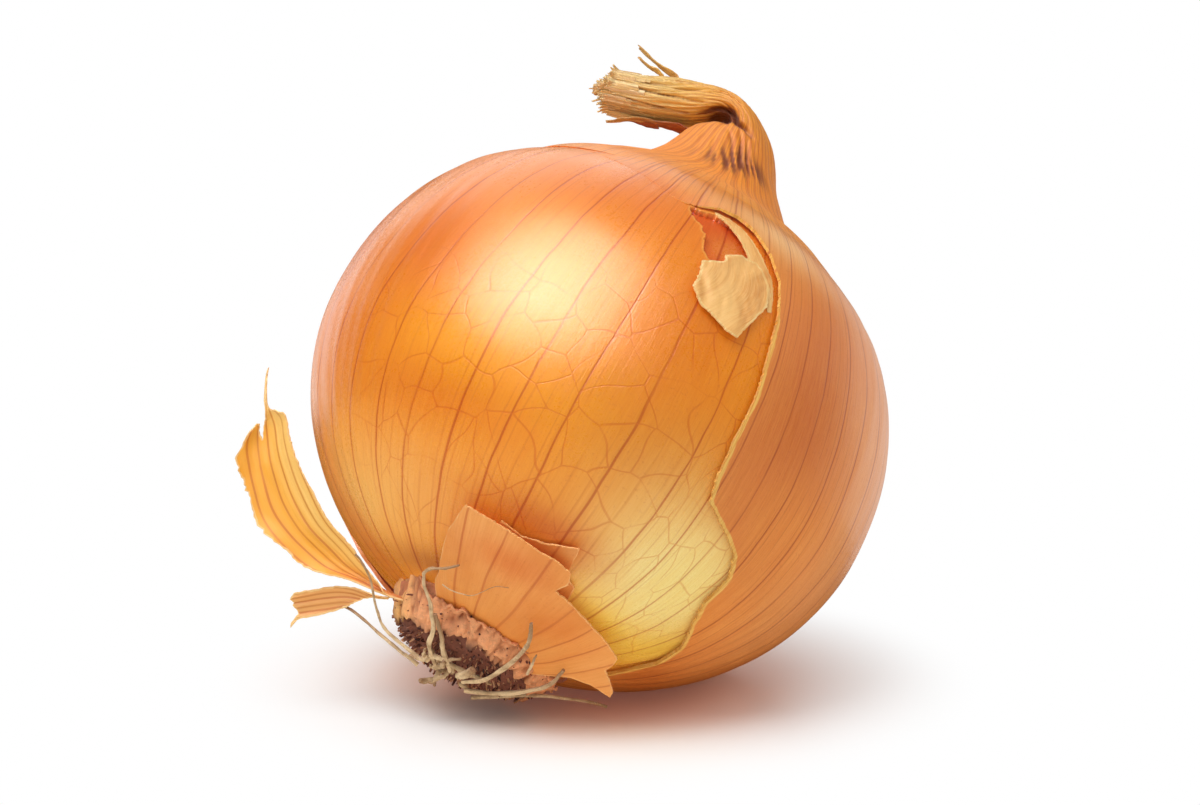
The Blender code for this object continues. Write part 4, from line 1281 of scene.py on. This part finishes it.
def buildHusks():
    paper = skinFinish("huskPaper", huskLook)
    for cadNode, shape in huskShapes.items():
        stretch = (4.0, 3.0)  # so that the cutter's sides are of similar length
        outline = [(c * stretch[0], a * stretch[1]) for c, a in shape["outline"]]
        torn = ragged(outline, 0.35, 0.045, shape["seed"], plain=(len(outline) - 1,))
        cut = [(c / stretch[0], a / stretch[1]) for c, a in torn]
        sheet = flatSheet(cut, shape["step"])
        flat = places(sheet)
        own, wide = huskPlaces(shape, flat[:, 0], flat[:, 1])
        rim = nearestInPlace(own, huskPlaces(shape, *np.array(cut).T)[0])
        placed = raised(lieDown(own * mm), 0.0002)
        movePlaces(sheet, placed)
        store(sheet, "edgeMm", rim)
        veins = flat[:, 0] * 4.6 + 0.3 * np.sin(flat[:, 1] * 0.5)
        angle = veins * (math.tau / veinCount)
        store(sheet, "grain", np.stack([np.cos(angle) * veinCount / math.tau, np.sin(angle) * veinCount / math.tau,
                                        flat[:, 1] * 0.42], 1))
        store(sheet, "span", np.maximum(wide / 4.6, 0.5))
        pale, along = smooth(0.35, 0.95, flat[:, 0]), flat[:, 1] / (len(shape["edges"]) - 1)
        shade = np.outer(1 - pale, rgb(248, 174, 36)) + np.outer(pale, rgb(254, 208, 116))
        if cadNode == "husk_small":
            shade = np.tile(rgb(244, 178, 104), (len(flat), 1))
        root = (1 - smooth(0.08, 0.3, along))[:, None]
        tip = smooth(0.72, 0.9, along)[:, None] * 0.5
        shade = blended(blended(shade, rgb(232, 146, 50), root), rgb(250, 210, 140), tip)
        store(sheet, "tint", np.column_stack([shade, np.zeros(len(flat))]))
        applied(sheet, "SOLIDIFY", thickness=shape["thick"] * mm, offset=0.0)
        faceOut(sheet)
        softShade(sheet, 50)
        joined(pieceName(cadNode), [sheet])
        handOver(bpy.context.object, paper, "husk", cadNode)


def flatSheet(outline, step):  # tornSheet's small units need scaling up for a clean cut
    grow = 20.0
    sheet = tornSheet("husk", [(x * grow, y * grow) for x, y in outline], (step[0] * grow, step[1] * grow))
    movePlaces(sheet, places(sheet) / grow)
    return sheet


def nearestInPlace(points, ring):
    nearest = np.full(len(points), 1e9)
    for a, b in zip(ring, np.roll(ring, -1, 0)):
        along = np.clip((points - a) @ (b - a) / max((b - a) @ (b - a), 1e-12), 0, 1)
        nearest = np.minimum(nearest, np.linalg.norm(points - a - along[:, None] * (b - a), axis=1))
    return nearest


buildHusks()
print("husks")

# The root plate: a fibrous dome, stubs of old roots, and a torn collar of skin ends

plateShape = {
    "profile": [(11.0, -31.9), (12.0, -32.4), (11.6, -34.0), (10.6, -35.8), (8.8, -37.3), (6.0, -38.6),
                (2.5, -39.4), (0.05, -39.6)],
    "turns": 120, "stubs": 820, "collarRows": 26, "collarAround": 420,
    "bare": (232, 42),  # where the old roots reach the rim, and how wide, in degrees
    "stubShades": [(112, 62, 44), (134, 80, 58), (172, 116, 82), (82, 44, 32), (200, 148, 108), (122, 70, 50)],
}


def plateFinish(name, dark, mid, pale, roughness=0.85):
    finish, tree, shader = newFinish(name, roughness, 1.4)
    place = node(tree, "ShaderNodeTexCoord", out=3)
    share = attribute(tree, "tint", "Color")
    coarse = noise(tree, place, 900, 4.0, 0.65)
    fine = noise(tree, place, 3200, 3.0, 0.6)
    colour = mix(tree, ramp(tree, coarse, 0.35, 0.65), share, shaded(tree, share, mid))
    colour = mix(tree, ramp(tree, fine, 0.5, 0.8, 0.0, 0.6), colour, shaded(tree, share, pale))
    colour = mix(tree, ramp(tree, coarse, 0.25, 0.42, 0.7, 0.0), colour, shaded(tree, share, dark))
    wire(tree, shader.inputs["Base Color"], colour)
    bump(tree, shader, calc(tree, "ADD", calc(tree, "MULTIPLY", coarse, 0.6), calc(tree, "MULTIPLY", fine, 0.4)),
         0.7, 0.0003)
    return finish


def plateAt(radius, azimuth, lift=0.0):  # own-frame place on the dome
    r, h = np.array(plateShape["profile"]).T
    height = np.interp(radius, r[2:][::-1], h[2:][::-1])
    return np.stack([radius * np.cos(azimuth), radius * np.sin(azimuth), height - lift], -1)


def buildPlate():
    shape = plateShape
    deselect()
    profile = shape["profile"]
    dome, column, row = gridSheet("rootPlate", 60, shape["turns"] + 1)
    ring = through(profile, row)
    around = column * math.tau
    lumps = 0.35 * lattice(column * 24, row * 9, 24, 101) + 0.2 * lattice(column * 60, row * 20, 60, 102)
    radius = np.maximum(ring[:, 0] + lumps * (row < 0.97), 0.0)
    own = np.stack([radius * np.cos(around), radius * np.sin(around), ring[:, 1] - 0.35 * lumps], 1)
    own[row > 0.999] = (0, 0, -39.6)
    placed = raised(lieDown(own * mm), 0.0001)
    movePlaces(dome, placed)
    weld(dome, 3e-6)
    faceShut(dome)
    softShade(dome, 60)
    centre = smooth(9.5, 12, np.hypot(*(standUp(places(dome)) / mm)[:, :2].T))[:, None]
    store(dome, "tint", np.column_stack([blended(rgb(118, 70, 52), rgb(176, 108, 66), centre),
                                         np.zeros(len(centre))]))

    draws = np.random.default_rng(103)
    deselect()
    bpy.ops.mesh.primitive_cone_add(vertices=5, radius1=0.21, radius2=0.08, depth=1.3, location=(0, 0, 0))
    stub = named("stub")
    stubs = []
    for i in range(shape["stubs"]):
        away = 11.5 * math.sqrt(draws.uniform(0.01, 1))
        azimuth = draws.uniform(0, math.tau)
        at = plateAt(np.array(away), np.array(azimuth))
        out = unit(np.array([at[0] * 0.10, at[1] * 0.10, -1.0]) + draws.normal(0, 0.35, 3))
        one = stub.copy()
        one.data = stub.data.copy()
        bpy.context.scene.collection.objects.link(one)
        standing = Vector(out).to_track_quat("Z", "Y").to_matrix().to_4x4()
        size = (draws.uniform(0.5, 1.3), draws.uniform(0.5, 1.3), draws.uniform(0.5, 1.7), 1)
        place = Matrix.Translation(at) @ standing @ Matrix.Diagonal(size)
        co = np.array([place @ v.co for v in one.data.vertices])
        co += draws.normal(0, 0.06, co.shape)
        placed = raised(lieDown(co * mm), 0.0001)
        movePlaces(one, placed)
        shade = shape["stubShades"][draws.integers(6)]
        store(one, "tint", np.tile([*rgb(*shade), 0], (len(co), 1)))
        stubs.append(one)
    bpy.data.objects.remove(stub)

    collar, column, row = gridSheet("collar", shape["collarRows"], shape["collarAround"] + 1)
    azimuth = column * math.tau
    degrees = np.degrees(azimuth)
    level = np.zeros(len(column))
    scallop = 0.8 * lattice(column * 46, level, 46, 111) + 0.5 * lattice(column * 130, level + 1, 130, 112)
    bare = hump(degrees, *shape["bare"])
    inner = 9.8 + 0.5 * lattice(column * 60, level, 60, 113) + 0.9 * bare
    front = hump(degrees, 360, 50) + hump(degrees, 0, 50)
    left = hump(degrees, 290, 24)
    radius = inner + (12.0 + 0.55 * scallop + 0.15 * front - inner) * np.minimum(1, row * 1.25)
    own = plateAt(np.minimum(radius, 11.55), azimuth)
    over = np.clip(radius - 11.0, 0, 3)
    own[:, :2] *= (radius / np.maximum(np.hypot(own[:, 0], own[:, 1]), 1e-6))[:, None]
    crumple = lattice(column * 64, row * 2.6, 64, 114) + 0.8 * lattice(column * 150, row * 7, 150, 115)
    rise = (1.0 + 0.55 * smooth(0.1, 0.9, row) + 0.5 * crumple) * (1 - 0.75 * bare)
    own[:, 2] += -rise * 0.9 + over * (0.6 + 1.6 * left) + (1.4 * left) * smooth(0.5, 1, row)
    own[:, :2] *= (1 + 0.02 * rise * row)[:, None]
    placed = raised(lieDown(own * mm), 0.0003)
    movePlaces(collar, placed)
    # how deep the crumple's dents are, kept for the painted shade in them below
    store(collar, "shadeAndTone", np.clip(-crumple * 0.8, 0, 1))
    weld(collar, 2e-6)
    applied(collar, "SOLIDIFY", thickness=0.00022, offset=0.0)
    faceOut(collar)
    softShade(collar, 50)
    own = standUp(places(collar)) / mm
    far = np.hypot(own[:, 0], own[:, 1])
    az = np.degrees(np.arctan2(own[:, 1], own[:, 0]))
    mid = smooth(9.0, 10.8, far + 0.5 * lattice(az / 6 + 60, far * 0, 120, 116))[:, None]
    mid *= 1 - 0.8 * hump(az % 360, *shape["bare"])[:, None]
    pale = hump(az, -76, 16)[:, None]
    shade = blended(rgb(96, 56, 38), blended(rgb(212, 146, 98), rgb(232, 176, 104), pale), mid)
    dentShade = np.empty(len(far))
    collar.data.attributes["shadeAndTone"].data.foreach_get("value", dentShade)
    # painted shade in the collar's crumpled dents
    shade = shade * (1 - 0.8 * dentShade[:, None] * np.array([0.7, 0.9, 1.0]))
    store(collar, "tint", np.column_stack([shade, np.zeros(len(shade))]))
    plate = joined("rootPlate", [dome, collar, *stubs])
    handOver(plate, plateFinish("rootPlateFibre", (0.52, 0.42, 0.38), (1.25, 1.2, 1.15), (1.7, 1.6, 1.5)),
             "root_plate", "root_plate")
    print("root plate", len(plate.data.polygons), "faces")


buildPlate()

# Dry roots

rootRoutes = {  # radii and routes in millimetres
    "root_front_left": ((0.34, 0.30, 0.25, 0.21, 0.15), [
        (3.5, -2.5, -40.8), (7.5, -4.7, -39.5), (10.5, -5.3, -38.0), (13.2, -7.0, -36.2), (14.8, -8.7, -35.0),
        (15.9, -9.6, -33.8), (17.0, -9.2, -32.9), (18.6, -7.6, -32.4), (20.4, -6.2, -31.6)]),
    "root_fork_left": ((0.36, 0.31, 0.24), [
        (5.0, -0.6, -40.6), (8.0, -2.6, -39.5), (10.4, -3.9, -38.3), (12.6, -5.9, -36.8)]),
    "root_left_low": ((0.28, 0.21, 0.18, 0.17), [
        (1.5, -4.8, -41.2), (1.5, -7.6, -40.7), (1.0, -11.2, -39.9), (0.0, -15.3, -38.7), (-1.5, -18.0, -38.4)]),
    "root_left_high": ((0.26, 0.20, 0.16, 0.13), [
        (3.6, -5.2, -40.7), (3.4, -8.8, -40.1), (4.0, -11.5, -39.3), (5.6, -13.4, -37.8), (7.2, -15.4, -35.8),
        (8.6, -17.6, -34.4), (9.0, -18.9, -34.0)]),
    "root_front_right": ((0.31, 0.33, 0.28, 0.20), [
        (4.2, 1.4, -41.0), (6.6, 3.8, -39.8), (10.0, 5.5, -37.5), (13.5, 6.4, -35.6), (16.5, 6.2, -34.2),
        (19.0, 5.5, -33.4)]),
    "root_fork_right": ((0.21, 0.17, 0.12), [(11.5, 8.3, -37.7), (13.0, 8.2, -36.6), (14.5, 8.1, -35.6)]),
    "root_right_low": ((0.30, 0.27, 0.23), [
        (1.5, 2.2, -41.2), (3.5, 6.2, -39.9), (6.5, 10.6, -37.4), (9.0, 11.9, -35.9), (11.0, 12.2, -34.7)]),
    "root_floor": ((0.29, 0.25, 0.20), [
        (-1.0, 3.4, -41.0), (0.8, 9.9, -37.5), (1.75, 16.05, -34.9), (2.2, 19.8, -34.0)]),
    "root_stub_upper": ((0.36, 0.45, 0.38), [(5.8, 0.5, -41.0), (7.4, 1.4, -40.6), (8.8, 1.8, -39.9)]),
    "root_stub_lower": ((0.36, 0.40, 0.29), [(0.6, -1.8, -41.4), (0.8, -2.7, -42.2), (1.4, -3.6, -42.9)]),
}
hairShape = {"radii": (0.10, 0.075, 0.06, 0.045, 0.04), "lift": 0.00235, "lonLat": [
    (-25.5, -66.6), (-20.8, -67.2), (-14.6, -66.8), (-10, -66.0), (-6, -63.5), (-2.2, -60.5), (2.2, -59.0)]}
tangleShape = {"centre": (3.2, -1.2, -40.3), "spread": (3.0, 3.4, 0.8), "count": 16}


def rootFinish():
    finish, tree, shader = newFinish("dryRoot", 0.75, 1.45)
    share = attribute(tree, "share", "Fac")
    place = node(tree, "ShaderNodeTexCoord", out=3)
    coarse = noise(tree, place, 700, 4.0, 0.6)
    fine = noise(tree, place, 2600, 3.0, 0.6)
    colour = mix(tree, ramp(tree, share, 0.25, 1.0), rgb(226, 194, 146), rgb(160, 118, 78))
    colour = mix(tree, ramp(tree, coarse, 0.35, 0.7, 0.0, 0.75), colour, rgb(150, 112, 72))
    colour = mix(tree, ramp(tree, fine, 0.55, 0.75, 0.0, 0.5), colour, rgb(232, 206, 160))
    colour = mix(tree, ramp(tree, coarse, 0.2, 0.36, 0.8, 0.0), colour, rgb(84, 56, 34))
    wire(tree, shader.inputs["Base Color"], colour)
    bump(tree, shader, calc(tree, "ADD", calc(tree, "MULTIPLY", coarse, 0.6), calc(tree, "MULTIPLY", fine, 0.3)),
         0.6, 0.0002)
    return finish


def buildRoots():
    finish = rootFinish()
    for i, (name, (radii, route)) in enumerate(rootRoutes.items()):
        parts = [gnarledTube(name, route, radii, 200 + 7 * i)]
        if name == "root_stub_lower":  # the knot of short roots in the middle
            draws = np.random.default_rng(300)
            for k in range(tangleShape["count"]):
                start = np.array(tangleShape["centre"]) + draws.uniform(-1, 1, 3) * tangleShape["spread"]
                lean = unit(draws.normal(0, 1, 3) * (1, 1.2, 0.35))
                bend = unit(draws.normal(0, 1, 3) * (1, 1, 0.4))
                long = draws.uniform(1.6, 3.6)
                route = [start, start + lean * long * 0.4, start + lean * long * 0.75 + bend * 0.5,
                         start + lean * long + bend * 1.2]
                parts.append(gnarledTube(name, route, (draws.uniform(0.22, 0.38), 0.30, 0.17), 310 + 3 * k, sides=8,
                                         uneven=0.25, wander=0.2))
        if name == "root_front_left":  # a hair lying on the flake beside it
            hair = standUp(onBulb(*np.array(hairShape["lonLat"], float).T, hairShape["lift"])) / mm
            parts.append(gnarledTube(name, list(hair), hairShape["radii"], 290, sides=6, uneven=0.05, wander=0.05))
        root = joined(pieceName(name), parts)
        handOver(root, finish, "root", name)
    print("roots")


buildRoots()
